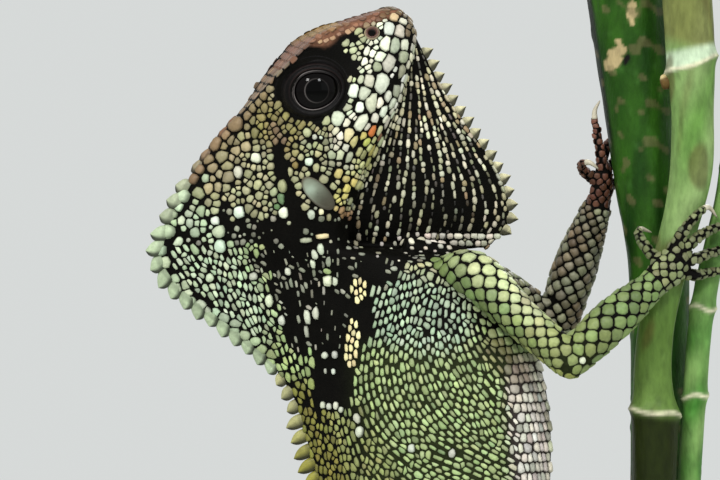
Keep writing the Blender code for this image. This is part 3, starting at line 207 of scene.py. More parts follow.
# Raised joints of a stem, as (height, tilt), and how far they stand out.
CANE_RINGS = ((28.0, 0.35), (-27.5, -0.12), (-103.0, 0.2))
SHOOT_RINGS = ((21.0, 0.1), (-10.9, -0.2), (-25.0, 0.1), (-58.0, 0.2))
RING_SWELL = 0.4

# Fingers and toes as (x, y, z) points, or as a root and steps (angle, z, clearance) round a stem.
FREE_DIGITS = {
    "hand_right": (
        ((48.0, -8.4, -4.0), (45.7, -7.2, -1.4), (44.5, -5.2, 0.8), (44.9, -2.6, 1.8), (46.6, -1.5, 1.2)),
        ((49.2, -8.4, -2.4), (51.6, -8.6, 1.6), (53.9, -7.2, 4.3), (55.6, -5.0, 5.2), (57.0, -4.0, 3.6)),
        ((50.4, -8.2, -2.6), (53.0, -7.6, -0.2), (55.8, -5.4, 1.6), (58.6, -4.4, 2.3),
         (60.6, -3.0, 2.0), (60.9, -0.8, 1.2)),
        ((50.6, -8.2, -3.6), (53.2, -7.4, -3.0), (55.6, -5.0, -2.2), (58.0, -3.6, -1.6),
         (59.8, -2.0, -1.5), (59.9, 0.2, -2.0)),
        ((50.0, -8.4, -4.8), (52.6, -7.2, -5.6), (54.8, -4.6, -5.4), (57.2, -3.4, -5.0),
         (58.8, -1.8, -5.0), (58.8, 0.2, -5.4)),
    ),
    "hand_left": (
        ((38.2, 8.0, 9.6), (36.0, 6.0, 11.0), (35.6, 3.8, 12.2), (36.8, 2.2, 12.4), (38.2, 2.2, 11.4)),
    ),
}
GRIPPING_DIGITS = {
    "hand_left": (
        ((39.0, 7.8, 10.6), (183, 14.0, 1.5), (184, 17.6, 1.6), (186, 20.6, 1.5), (188, 22.4, 0.4)),
        ((39.4, 8.6, 10.8), (158, 13.8, 1.4), (134, 16.0, 1.4), (106, 17.6, 1.4), (88, 17.2, 0.5)),
        ((39.4, 9.0, 10.0), (146, 11.8, 1.5), (120, 13.0, 1.4), (90, 13.6, 1.4), (74, 13.2, 0.5)),
        ((39.2, 9.4, 9.0), (142, 9.0, 1.6), (118, 9.2, 1.4), (94, 9.0, 1.3), (78, 8.6, 0.5)),
    ),
    "foot_right": (
        ((42.6, -8.8, -74.0), (-142, -71.4, 1.4), (-158, -69.6, 1.2), (-170, -69.0, 0.5)),
        ((43.1, -8.9, -73.0), (-128, -68.4, 1.5), (-132, -64.8, 1.3), (-136, -63.2, 0.5)),
        ((43.4, -8.9, -72.8), (-114, -67.4, 1.5), (-106, -62.4, 1.4), (-98, -59.4, 0.5)),
        ((43.6, -9.1, -73.4), (-102, -68.0, 1.6), (-80, -62.4, 1.6), (-58, -57.4, 1.4), (-46, -56.2, 0.5)),
        ((43.3, -9.7, -75.2), (-100, -73.4, 1.9), (-72, -71.4, 1.7), (-46, -70.6, 1.4), (-32, -71.2, 0.5)),
    ),
    "foot_left": (
        ((42.2, 14.4, -76.6), (150, -74.0, 1.4), (162, -72.2, 1.2), (172, -71.6, 0.5)),
        ((42.6, 14.8, -75.4), (134, -71.0, 1.5), (138, -67.6, 1.3), (142, -66.2, 0.5)),
        ((43.0, 15.0, -75.2), (122, -70.0, 1.5), (114, -65.0, 1.4), (108, -62.2, 0.5)),
        ((43.2, 15.2, -75.8), (112, -70.4, 1.7), (92, -65.0, 1.5), (72, -60.4, 1.4), (60, -59.2, 0.5)),
        ((42.8, 15.8, -77.6), (108, -75.8, 2.0), (84, -74.0, 1.7), (62, -73.2, 1.4), (48, -73.8, 0.5)),
    ),
}
# The solids that the skin and its scales replace.
FLESH_NODES = [
    "head", "casque", "throat_pouch", "neck", "torso", "hips", "tail_1", "tail_2", "tail_3", "tail_4",
    "tail_5", "upper_arm_right", "forearm_right", "hand_right", "upper_arm_left", "forearm_left",
    "hand_left", "thigh_right", "shin_right", "foot_right", "thigh_left", "shin_left", "foot_left",
]
# The fold of dark skin under the throat pouch.
POUCH_FOLD = ((7.0, 0.0, -1.2), (11.5, 0.6, -1.7), (15.5, 1.6, -2.2), (18.6, 3.2, -3.4))
# Strings of beads on the pouch, the beads' length, and the pouch's depth at each section.
POUCH_ROWS = 15
BEAD_LENGTH = 1.15
POUCH_DEPTHS = (2.4, 4.6, 8.4, 13.4, 18.6, 22.9, 25.4, 25.2, 22.8)
# From this size on a seed is a single named scale.
SPOT_RANK = 10.0
GOLDEN_ANGLE = 2.39996

# The unwrap of the skin: left, bottom, width and height of each form's box.
CHARTS = {
    "body": (0.02, 0.02, 0.40, 0.96), "crown": (0.44, 0.02, 0.10, 0.20),
    "pouch": (0.56, 0.02, 0.30, 0.20), "arm_right": (0.44, 0.24, 0.12, 0.34),
    "arm_left": (0.58, 0.24, 0.12, 0.34), "leg_right": (0.72, 0.24, 0.12, 0.34),
    "leg_left": (0.86, 0.24, 0.12, 0.34), "hand_right": (0.44, 0.60, 0.12, 0.38),
    "hand_left": (0.58, 0.60, 0.12, 0.38), "foot_right": (0.72, 0.60, 0.12, 0.38),
    "foot_left": (0.86, 0.60, 0.12, 0.38),
}
CHART_ORDER = {name: float(number) * 2 for number, name in enumerate(CHARTS)}
LIMB_CHART_SHARE = 6.0

# How the scales of the neck and trunk lie on the side view: (x, z) and degrees from straight down,
# positive towards the belly.
FLOW = np.array((
    (-27.0, -9.0, 38.0), (-20.0, -16.0, 34.0), (-13.0, -25.0, 26.0), (-19.0, -8.0, 24.0),
    (-12.0, -14.0, 20.0), (-12.0, -5.0, 12.0), (-6.4, -14.4, 3.0), (-3.0, -6.0, 0.0),
    (-0.6, -12.0, -14.0), (-1.6, -18.0, -12.0), (5.0, -9.6, -20.0), (4.0, -15.0, -18.0),
    (11.2, -8.0, -24.0), (9.0, -14.0, -14.0), (15.5, -10.0, -4.0), (16.0, -15.0, 18.0),
    (21.0, -20.0, 38.0), (6.4, -22.0, 12.0), (13.0, -22.0, 26.0), (20.0, -27.0, 36.0),
    (-9.6, -29.0, 12.0), (-3.2, -33.6, 14.0), (6.0, -28.0, 30.0), (13.0, -29.0, 42.0),
    (5.0, -34.0, 62.0), (13.0, -35.0, 74.0), (20.0, -36.0, 66.0), (-8.0, -44.0, 8.0),
    (4.0, -44.0, 24.0), (20.0, -47.0, 20.0), (10.0, -50.0, 8.0),
))
FLOW_REACH = 3.5
FLOW_STEP = 0.4
FLOW_LIMITS = (-48.0, 3.5)

# Curves and forms


def hermite(u, span, start, end, start_slope, end_slope):
    """A cubic between two values with given slopes, at the share `u` of its span."""
    return (start * (2 * u**3 - 3 * u**2 + 1) + start_slope * span * (u**3 - 2 * u**2 + u)
            + end * (3 * u**2 - 2 * u**3) + end_slope * span * (u**3 - u**2))


def slopes_of(knots, values):
    """Catmull-Rom slopes of rows of values at their knots."""
    slopes = np.empty_like(values)
    slopes[1:-1] = (values[2:] - values[:-2]) / (knots[2:] - knots[:-2])[:, None]
    slopes[0] = (values[1] - values[0]) / (knots[1] - knots[0])
    slopes[-1] = (values[-1] - values[-2]) / (knots[-1] - knots[-2])
    return slopes


def interval_of(knots, at):
    """The knot before each place, the step to the next knot, and the share of the step."""
    left = np.clip(np.searchsorted(knots, at, side="right") - 1, 0, len(knots) - 2)
    span = knots[left + 1] - knots[left]
    return left, span, (at - knots[left]) / span


def smooth_curve(knots, values, at):
    """Values read at the places in `at` from a smooth curve through `values`."""
    knots = np.asarray(knots, float)
    values = np.asarray(values, float).reshape(len(knots), -1)
    slopes = slopes_of(knots, values)
    left, span, u = interval_of(knots, np.atleast_1d(np.asarray(at, float)))
    return hermite(u[:, None], span[:, None], values[left], values[left + 1], slopes[left], slopes[left + 1])


def rows_at(table, s):
    """The rows of a table, read at row numbers `s`, whole or broken."""
    return smooth_curve(np.arange(len(table)), table, s)


def run_along(points):
    """The distance along a line to each of its points."""
    return np.concatenate([[0], np.cumsum(np.linalg.norm(np.diff(points, axis=0), axis=1))])


def tail_sections():
    """The tail's sections, worked out from its line and its depth."""
    line = np.array(TAIL_LINE)
    last = TRUNK_SECTIONS[-1]
    start = [(last[0] + last[2]) / 2, 0.0, (last[1] + last[3]) / 2]
    along = np.gradient(np.vstack([start, line]), axis=0)[1:]
    rows = []
    for (x, y, z), (along_x, _, along_z), depth in zip(line, along, TAIL_DEPTHS):
        length = math.hypot(along_x, along_z)
        back = np.array([along_z, -along_x]) / length * depth / 2
        widths = [share * depth * TAIL_WIDTH_SHARE for share in TAIL_PROFILE]
        rows.append((x + back[0], z + back[1], x - back[0], z - back[1], y, 0, *widths))
    return rows


BODY = np.array([*HEAD_SECTIONS, *TRUNK_SECTIONS, *tail_sections()], float)
POUCH = np.array(POUCH_SECTIONS, float)
SECTION_STEPS = np.linspace(0, 30, 301)
SECTION_ROWS = rows_at(BODY, SECTION_STEPS)


def smooth_step(low, high, value):
    share = np.clip((value - low) / (high - low), 0, 1)
    return share * share * (3 - 2 * share)


def unit(vectors):
    vectors = np.asarray(vectors, float)
    return vectors / np.maximum(np.linalg.norm(vectors, axis=-1, keepdims=True), 1e-9)


def roll_weight(s):
    """How much of the head's roll a section takes: all of it on the head, none past the neck."""
    return 1 - smooth_step(ROLL_FULL_SECTION, ROLL_END_SECTION, np.asarray(s, float))


def head_parts(points):
    """Distances of points along and across the head's axis, and sideways."""
    offset = np.asarray(points, float) - HEAD_CENTRE
    return offset @ HEAD_AXIS, offset @ HEAD_ACROSS, offset[:, 1]


def head_points(along, out, side):
    """The reverse of `head_parts`."""
    points = HEAD_CENTRE + np.outer(along, HEAD_AXIS) + np.outer(out, HEAD_ACROSS)
    points[:, 1] = side
    return points


def rolled(points, weight):
    """Points turned about the head's axis, keeping the outline that the side view shows."""
    along, out, side = head_parts(points)
    angle = HEAD_ROLL * np.asarray(weight, float)
    return head_points(along, out + side * np.sin(angle), side * np.cos(angle) - out * np.tan(angle))


def unrolled(points, weight):
    """The reverse of `rolled`."""
    along, out, side = head_parts(points)
    angle = HEAD_ROLL * weight
    determinant = math.cos(angle) + math.sin(angle) * math.tan(angle)
    old_side = (side + out * math.tan(angle)) / determinant
    return head_points(along, out - old_side * math.sin(angle), old_side)


def mirrored(verts, weight=1.0):
    """A piece of the right side of the head, as it stands on the left."""
    turned = unrolled(verts, weight)
    turned[:, 1] = -turned[:, 1]
    return rolled(turned, weight)


def half_widths_at(rows, heights):
    """The half-width of each row's section at its own height."""
    knots = np.array(WIDTH_HEIGHTS)
    values = rows[:, 6:12].T
    slopes = slopes_of(knots, values)
    left, span, u = interval_of(knots, heights)
    item = np.arange(len(rows))
    return np.maximum(
        hermite(u, span, values[left, item], values[left + 1, item], slopes[left, item],
                slopes[left + 1, item]), LEAST_HALF_WIDTH)


def section_points(table, s, heights, side, grow=0.0, roll=None, mouth=False):
    """Points of the form at section numbers `s` and heights 0 to 1 on `side` -1 or 1.

    Heights below 0 run over the rounded or troughed top to its centre at -1.
    """
    s, heights = np.broadcast_arrays(np.asarray(s, float), np.asarray(heights, float))
    rows = rows_at(table, s)
    top, bottom = rows[:, 0:2], rows[:, 2:4]
    across = unit(bottom - top)
    top = top - across * grow
    bottom = bottom + across * grow
    depth = np.linalg.norm(bottom - top, axis=1)
    on_side = np.clip(heights, 0, 1)
    width = half_widths_at(rows, on_side) + grow
    if mouth:
        mouth_height = rows_at(MOUTH_HEIGHTS, np.clip(s, 0, len(MOUTH_HEIGHTS) - 1))[:, 0]
        distance = (on_side - mouth_height) * depth
        open_share = 1 - smooth_step(MOUTH_CORNER - 0.7, MOUTH_CORNER, s)
        dent = MOUTH_GROOVE_DEPTH * np.exp(-((distance / MOUTH_GROOVE_HALF_WIDTH) ** 2))
        width = width + open_share * (LIP_SWELL * np.exp(-np.abs(distance)) - 1.3 * dent)
    top_width = half_widths_at(rows, np.zeros(len(rows))) + grow
    over_top = np.clip(-heights, 0, 1)
    dip = (rows[:, 5] - TOP_ROUNDNESS * top_width) * (1 - (1 - over_top) ** 2)
    place = top + across * (dip + depth * on_side)[:, None]
    width = np.where(heights < 0, top_width * (1 - over_top), width)
    points = np.stack([place[:, 0], rows[:, 4] + side * width, place[:, 1]], axis=1)
    return rolled(points, roll_weight(s) if roll is None else np.full(len(points), roll))


def section_of(x, z):
    """The section number and the height in it of the place (x, z) of the side view."""
    top, across = SECTION_ROWS[:, 0:2], SECTION_ROWS[:, 2:4] - SECTION_ROWS[:, 0:2]
    offset = np.array([x, z]) - top
    share = np.clip((offset * across).sum(axis=1) / (across**2).sum(axis=1), 0, 1)
    best = np.argmin(np.linalg.norm(offset - across * share[:, None], axis=1))
    return SECTION_STEPS[best], share[best]


def turns_round(count):
    """Equal angles once round, in radians."""
    return np.linspace(0, 2 * math.pi, count, endpoint=False)


def grid_faces(rows, count):
    """Quads between rows of `count` vertices, each row a closed ring."""
    i, j = np.meshgrid(np.arange(rows - 1), np.arange(count), indexing="ij")
    k = (j + 1) % count
    quads = [i * count + j, i * count + k, (i + 1) * count + k, (i + 1) * count + j]
    return np.stack(quads, -1).reshape(-1, 4)


def fan_faces(first, count, centre):
    """Triangles from a ring of `count` vertices, whose first is given, to one vertex."""
    ring = first + np.arange(count)
    return np.stack([ring, np.roll(ring, -1), np.full(count, centre), np.full(count, centre)], -1)


def tube_faces(verts, rows, count):
    """Quads between rows of `count` vertices, with a fan over each end."""
    ends = np.stack([verts[:count].mean(axis=0), verts[-count:].mean(axis=0)])
    first = fan_faces(0, count, len(verts))[:, [1, 0, 2, 3]]
    last = fan_faces((rows - 1) * count, count, len(verts) + 1)
    return np.vstack([verts, ends]), np.vstack([grid_faces(rows, count), first, last])


def ring_loft(table, rows, count, **options):
    """The closed form through all sections, with `count` points on each side of each row."""
    places, stations = np.linspace(0, len(table) - 1, rows), np.linspace(0, 1, count)
    over = np.array([-0.75, -0.5, -0.25])
    heights = np.concatenate([[-1.0], over, stations, stations[::-1], over[::-1]])
    right = 1 + len(over) + len(stations)
    sides = np.where(np.arange(len(heights)) < right, -1.0, 1.0)
    verts = section_points(table, np.repeat(places, len(heights)), np.tile(heights, len(places)),
                           np.tile(sides, len(places)), **options)
    return tube_faces(verts, len(places), len(heights))


def line_frames(points, start=None):
    """Unit tangent and two side directions at each point of a line, carried without twist."""
    tangents = unit(np.gradient(points, axis=0))
    side = np.cross(tangents[0], (1.0, 0.0, 0.0)) if start is None else np.asarray(start, float)
    sides, uppers = [], []
    for tangent in tangents:
        side = unit(side - tangent * (side @ tangent))
        sides.append(side)
        uppers.append(np.cross(tangent, side))
    return tangents, np.array(sides), np.array(uppers)


def tube(points, radii, count, flatten=1.0, start=None):
    """A closed tube round a line, flattened along its first side direction."""
    points = np.asarray(points, float)
    turns = np.arange(count) * 2 * math.pi / count
    _, side, upper = line_frames(points, start)
    ring = flatten * np.cos(turns)[None, :, None] * side[:, None, :]
    ring = ring + np.sin(turns)[None, :, None] * upper[:, None, :]
    grid = points[:, None, :] + np.asarray(radii, float)[:, None, None] * ring
    return tube_faces(grid.reshape(-1, 3), len(grid), count)


def ball(centre, radius):
    """A closed ball as vertices and faces, made as a tube along a meridian."""
    angles = np.linspace(0.04, math.pi - 0.04, 24)
    line = np.asarray(centre, float) + np.stack(
        [np.zeros(24), np.zeros(24), -radius * np.cos(angles)], axis=1)
    return tube(line, radius * np.sin(angles), 32)


def line_through(points, count):
    """Points at equal distances along a smooth line through the given ones."""
    points = np.asarray(points, float)
    knots = run_along(points)
    fine = smooth_curve(knots, points, np.linspace(0, knots[-1], 300))
    run = run_along(fine)
    places = np.linspace(0, run[-1], count)
    return np.stack([np.interp(places, run, fine[:, k]) for k in range(3)], axis=1)


def stem_at(line, z):
    """Centre (x, y) and radius of a stem at each height."""
    table = np.array(line, float)[::-1]
    return smooth_curve(table[:, 2], table[:, [0, 1, 3]], z)


def round_stem(line, angle, z, clear):
    """A point beside a stem: `angle` in degrees round it, `clear` from its surface."""
    x, y, radius = stem_at(line, z)[0]
    turn = math.radians(angle)
    reach = radius + clear
    return (x + reach * math.cos(turn), y + reach * math.sin(turn), z)


def digit_lines():
    """Every finger and toe, as its node and its line."""
    digits = [(name, line) for name, lines in FREE_DIGITS.items() for line in lines]
    for name, grips in GRIPPING_DIGITS.items():
        stem = CANE_LINE if name == "foot_right" else STEM_LINE
        digits += [(name, [root, *(round_stem(stem, *step) for step in steps)]) for root, *steps in grips]
    return [(name, line_through(line, DIGIT_STEPS)) for name, line in digits]


def limb_parts():
    """Each limb's two lengths, parted at its bend, as (name, 0 or 1, line, radii)."""
    parts = []
    for name, points, radii in LIMBS:
        bend = len(points) - 3
        for half, (first, end) in enumerate(((0, bend + 1), (bend, len(points)))):
            places = np.linspace(0, end - first - 1, LIMB_STEPS)
            parts.append((name, half, rows_at(points[first:end], places),
                          rows_at(radii[first:end], places)[:, 0]))
    return parts


def palm_parts():
    """Each palm and sole, as (name, line, radii, thin way)."""
    shares = np.linspace(0, 1, PALM_STEPS)
    return [(name, line_through(points, PALM_STEPS), np.interp(shares, np.linspace(0, 1, len(radii)), radii),
             normal) for name, points, radii, normal in PALMS]


# Building meshes


def to_world(points):
    return (np.asarray(points, float) - (STAND_CENTRE_X, 0.0, -FRAME_HEIGHT)) * MM


def new_mesh(name, verts, faces):
    """A smooth-shaded mesh in metres. Faces are rows of four, a triangle repeating its last."""
    faces = np.asarray(faces, dtype=np.int64)
    triangle = faces[:, 2] == faces[:, 3]
    sizes = np.where(triangle, 3, 4)
    starts = np.concatenate([[0], np.cumsum(sizes)[:-1]])
    keep = np.ones(faces.shape, bool)
    keep[triangle, 3] = False
    corners = faces[keep]
    mesh = bpy.data.meshes.new(name)
    mesh.vertices.add(len(verts))
    mesh.vertices.foreach_set("co", to_world(verts).astype(np.float32).ravel())
    mesh.loops.add(len(corners))
    mesh.loops.foreach_set("vertex_index", corners.astype(np.int32))
    mesh.polygons.add(len(faces))
    mesh.polygons.foreach_set("loop_start", starts.astype(np.int32))
    mesh.polygons.foreach_set("use_smooth", np.ones(len(faces), bool))
    mesh.update(calc_edges=True)
    return mesh


def linked(name, data):
    """A new object in the scene."""
    obj = bpy.data.objects.new(name, data)
    bpy.context.scene.collection.objects.link(obj)
    return obj


def add_piece(name, verts, faces, material, tint, replaces=(), slot=None):
    """A piece of the model that rides on its one body."""
    obj = linked(name, new_mesh(name, verts, faces))
    set_tint(obj.data, tint)
    dress(obj, material, replaces)
    return obj


def set_tint(mesh, tint):
    """Stores one colour for each vertex."""
    layer = mesh.color_attributes.new("tint", "FLOAT_COLOR", "POINT")
    values = np.ones((len(mesh.vertices), 4), np.float32)
    values[:, :3] = tint
    layer.data.foreach_set("color", values.ravel())


def dress(obj, material, replaces=()):
    obj.data.materials.clear()
    obj.data.materials.append(material)
    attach(obj, "root")
    if replaces:
        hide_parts(*replaces)


def joined(parts):
    """Several (vertices, faces) as one."""
    verts, faces, start = [], [], 0
    for part_verts, part_faces in parts:
        verts.append(part_verts)
        faces.append(np.asarray(part_faces) + start)
        start += len(part_verts)
    return np.vstack(verts), np.vstack(faces)


def add_parts(name, parts, material, slot):
    """One piece made of several (vertices, faces, tint)."""
    verts, faces = joined([part[:2] for part in parts])
    add_piece(name, verts, faces, material, np.concatenate([part[2] for part in parts]), slot=slot)


# Scales

# Each style of scale: gap between neighbours, height of the dome, rise of the rear edge,
# keel, flatness of the top (0 round to 1 flat), squareness of the cap.
STYLES = {
    "pebble": (0.19, 0.40, 0.00, 0.00, 0.45, 2.6),
    "bead": (0.06, 0.36, 0.06, 0.00, 0.30, 2.8),
    "string": (0.13, 0.24, 0.12, 0.05, 0.50, 2.8),
    "plate": (0.12, 0.24, 0.00, 0.00, 0.85, 6.0),
    "smooth": (0.05, 0.06, 0.00, 0.00, 0.85, 4.0),
    "flank": (0.17, 0.24, 0.10, 0.05, 0.55, 2.8),
    "limb": (0.11, 0.14, 0.12, 0.10, 0.85, 7.0),
    "belly": (0.16, 0.24, 0.24, 0.10, 0.65, 4.0),
    "tail": (0.15, 0.20, 0.16, 0.20, 0.60, 4.0),
    "digit": (0.10, 0.20, 0.08, 0.04, 0.55, 4.0),
    "tubercle": (0.16, 0.60, 0.00, 0.00, 0.25, 2.4),
}
STYLE_NAMES = list(STYLES)
STYLE_COLUMNS = ("gap", "height", "rise", "keel", "flat", "square")
OUTLINE_POINTS = 12
OUTLINE_SHARPNESS = 13.0
NEIGHBOURS = 18
# How far a cap may grow into free space, and how near the edges of two caps may come:
# for common scales, for a common one beside a named one, and for two of the strings.
CAP_GROWTH = 1.16
CLOSENESS = 0.66
SPOT_CLOSENESS = 0.84
STRING_CLOSENESS = 0.78
# A scale is a sliver when its least width is below this share of what its shape asks for.
SLIVER_SHARE = 0.5
# Neighbours whose surface turns away further than this don't count.
LEAST_FACING = 0.15
# Rings of a dome: share of the outline, share of the height, share of the tint. The tint's shares paint shade
# round each scale's foot and light on its top.
DOME_RINGS = ((1.0, -0.6, 0.22), (0.98, 0.38, 0.55), (0.78, 0.88, 0.96))
# The least share of its reach that a gap leaves to a scale, and the limits of the skin's bend.
LEAST_REACH = 0.25
BEND_LIMITS = (-0.35, 0.12)
# The mean reach at which a scale has its style's height, and the limits of the height's factor.
FULL_REACH = 0.75
HEIGHT_LIMITS = (0.35, 1.5)
# The limits of the factor by which single scales differ in size.
SIZE_LIMITS = (0.86, 1.16)
# How much outlines and heights vary from scale to scale, and shades and hues.
REACH_SPREAD = 0.05
HEIGHT_SPREAD = 0.12
SHADE_SPREAD = 0.19
HUE_SPREAD = 0.035
# The most triangles in one piece of the coat, and each scale's size on the unwrap.
COAT_PIECE_LIMIT = 180000
PATCH_SIZE = 0.003
PATCH_RINGS = (1.0, 0.85, 0.5)


class Seeds:
    """Places where scales grow: position, lie, size, cap lengths and a named style."""

    VECTORS = ("place", "lie", "colour", "root")
    FIELDS = ("place", "lie", "size", "long", "wide", "style", "root", "colour")
    NO_COLOUR = (-1.0, -1.0, -1.0)

    def __init__(self):
        self.rows = {field: [] for field in self.FIELDS}

    def add(self, place, lie, size, long, wide, style, root, colour=NO_COLOUR):
        values = (place, lie, size, long, wide, STYLE_NAMES.index(style), root, colour)
        for field, value in zip(self.FIELDS, values):
            value = np.asarray(value, int if field == "style" else float)
            shape = (len(place), 3) if field in self.VECTORS else (len(place),)
            self.rows[field].append(np.broadcast_to(value, shape))

    def arrays(self):
        return {field: np.concatenate(parts) for field, parts in self.rows.items()}


def picked(seeds, keep):
    """The seeds at which `keep` holds."""
    return {field: values[keep] for field, values in seeds.items()}


def style_column(column, seeds):
    """One number of each scale's style."""
    values = [STYLES[name][STYLE_COLUMNS.index(column)] for name in STYLE_NAMES]
    return np.array(values)[seeds["style"]]


def of_style(seeds, *names):
    """Whether each scale has one of the named styles."""
    return np.isin(seeds["style"], [STYLE_NAMES.index(name) for name in names])


def nearest_on(tree, points, reach):
    """Nearest place and normal on a surface for each point, and whether it lies within reach."""
    hits = [tree.find_nearest(Vector(point), reach)[:2] for point in points]
    found = np.array([place is not None for place, _ in hits])
    values = np.array([hit if ok else np.zeros((2, 3)) for hit, ok in zip(hits, found)])
    return values[:, 0], values[:, 1], found


def tree_of(places):
    tree = KDTree(len(places))
    for i, place in enumerate(places):
        tree.insert(place, i)
    tree.balance()
    return tree


def neighbour_table(places, count):
    tree = tree_of(places)
    return np.array([[j for _, j, _ in tree.find_n(place, count + 1) if j != i][:count]
                     for i, place in enumerate(places)])


def extent(direction, lie, cross, long, wide, square):
    """How far a scale reaches from its centre along a direction."""
    along = np.abs((direction * lie).sum(axis=-1)) / long
    across = np.abs((direction * cross).sum(axis=-1)) / wide
    return (along**square + across**square + 1e-9) ** (-1 / square)


def lie_frames(lie, normal):
    """The direction of each scale's length in the surface, and the one across it."""
    lie = unit(lie - normal * (lie * normal).sum(axis=1, keepdims=True))
    return lie, np.cross(normal, lie)


def thinned(seeds):
    """Drops the seeds whose scale would overlap too much with a larger one."""
    place, normal, long, wide = (seeds[field] for field in ("place", "normal", "long", "wide"))
    lie, cross = lie_frames(seeds["lie"], normal)
    tree = tree_of(place)
    keep = np.ones(len(place), bool)
    longest = np.maximum(long, wide)
    square = style_column("square", seeds)
    string = of_style(seeds, "string")
    named = seeds["size"] >= SPOT_RANK
    for i in np.argsort(-seeds["size"], kind="stable"):
        if not keep[i]:
            continue
        found = tree.find_range(place[i], CLOSENESS * (longest[i] + longest.max()))
        near = np.array([j for _, j, _ in found if j != i and keep[j]], int)
        if not len(near):
            continue
        offset = place[near] - place[i]
        distance = np.maximum(np.linalg.norm(offset, axis=1), 1e-6)
        direction = offset / distance[:, None]
        own = extent(direction, lie[i], cross[i], long[i], wide[i], square[i])
        other = extent(direction, lie[near], cross[near], long[near], wide[near], square[near])
        close = np.where(string[near] & string[i], STRING_CLOSENESS, CLOSENESS)
        close = np.where(~named[near] & named[i], SPOT_CLOSENESS, close)
        overlap = (distance < close * (own + other)) & (normal[near] @ normal[i] > 0.1)
        keep[near[overlap]] = False
    return picked(seeds, keep)


def outlines(seeds):
    """Each scale's frame, its reach in each direction up to its neighbours, and the skin's bend there."""
    near = neighbour_table(seeds["place"], NEIGHBOURS)
    place, long, wide = seeds["place"], seeds["long"], seeds["wide"]
    steady = unit(seeds["normal"] * 2 + seeds["normal"][near[:, :6]].mean(axis=1))
    lie, cross = lie_frames(seeds["lie"], steady)
    gap, square = (style_column(n, seeds)[:, None] for n in ("gap", "square"))
    offset = place[near] - place[:, None, :]
    u, v, w = ((offset * way[:, None, :]).sum(axis=2) for way in (lie, cross, steady))
    facing = (seeds["normal"][near] * steady[:, None, :]).sum(axis=2)
    facing = (facing > LEAST_FACING)[:, :, None]
    flat_distance = np.maximum(u**2 + v**2, 1e-4)[:, :, None]
    direction = offset / np.maximum(np.linalg.norm(offset, axis=2, keepdims=True), 1e-6)
    own = extent(direction, lie[:, None], cross[:, None], long[:, None], wide[:, None], square)
    other = extent(direction, lie[near], cross[near], long[near], wide[near], square[near, 0])
    share = (own / (own + other))[:, :, None]

    cos, sin = outline_turns()
    toward = u[:, :, None] * cos + v[:, :, None] * sin
    limit = np.maximum(toward, 0) / (share * flat_distance) * facing
    cap = (np.abs(cos)[None] / (CAP_GROWTH * long[:, None])) ** square
    cap = cap + (np.abs(sin)[None] / (CAP_GROWTH * wide[:, None])) ** square
    cap = cap ** (OUTLINE_SHARPNESS / square)
    reach = ((limit**OUTLINE_SHARPNESS).sum(axis=1) + cap) ** (-1 / OUTLINE_SHARPNESS)
    reach = np.maximum(reach - gap / 2, LEAST_REACH * reach)
    # The surface's curve under the scale, read from the neighbours in each direction.
    pull = np.maximum(toward / np.sqrt(flat_distance), 0) ** 4 * facing
    bend = (pull * (w[:, :, None] / flat_distance)).sum(axis=1) / np.maximum(pull.sum(axis=1), 1e-6)
    return lie, cross, steady, reach, np.clip(bend, *BEND_LIMITS)


def outline_turns():
    turns = (np.arange(OUTLINE_POINTS) + 0.5) * 2 * math.pi / OUTLINE_POINTS
    return np.cos(turns), np.sin(turns)


def without_slivers(seeds):
    """Drops the scales that their neighbours cut down to a thin slice."""
    reach = outlines(seeds)[3]
    half = OUTLINE_POINTS // 2
    across = reach[:, :half] + reach[:, half:]
    shape = np.minimum(seeds["long"], seeds["wide"]) / np.maximum(seeds["long"], seeds["wide"])
    whole = across.min(axis=1) > SLIVER_SHARE * shape * across.max(axis=1)
    return picked(seeds, whole | (seeds["size"] >= SPOT_RANK))


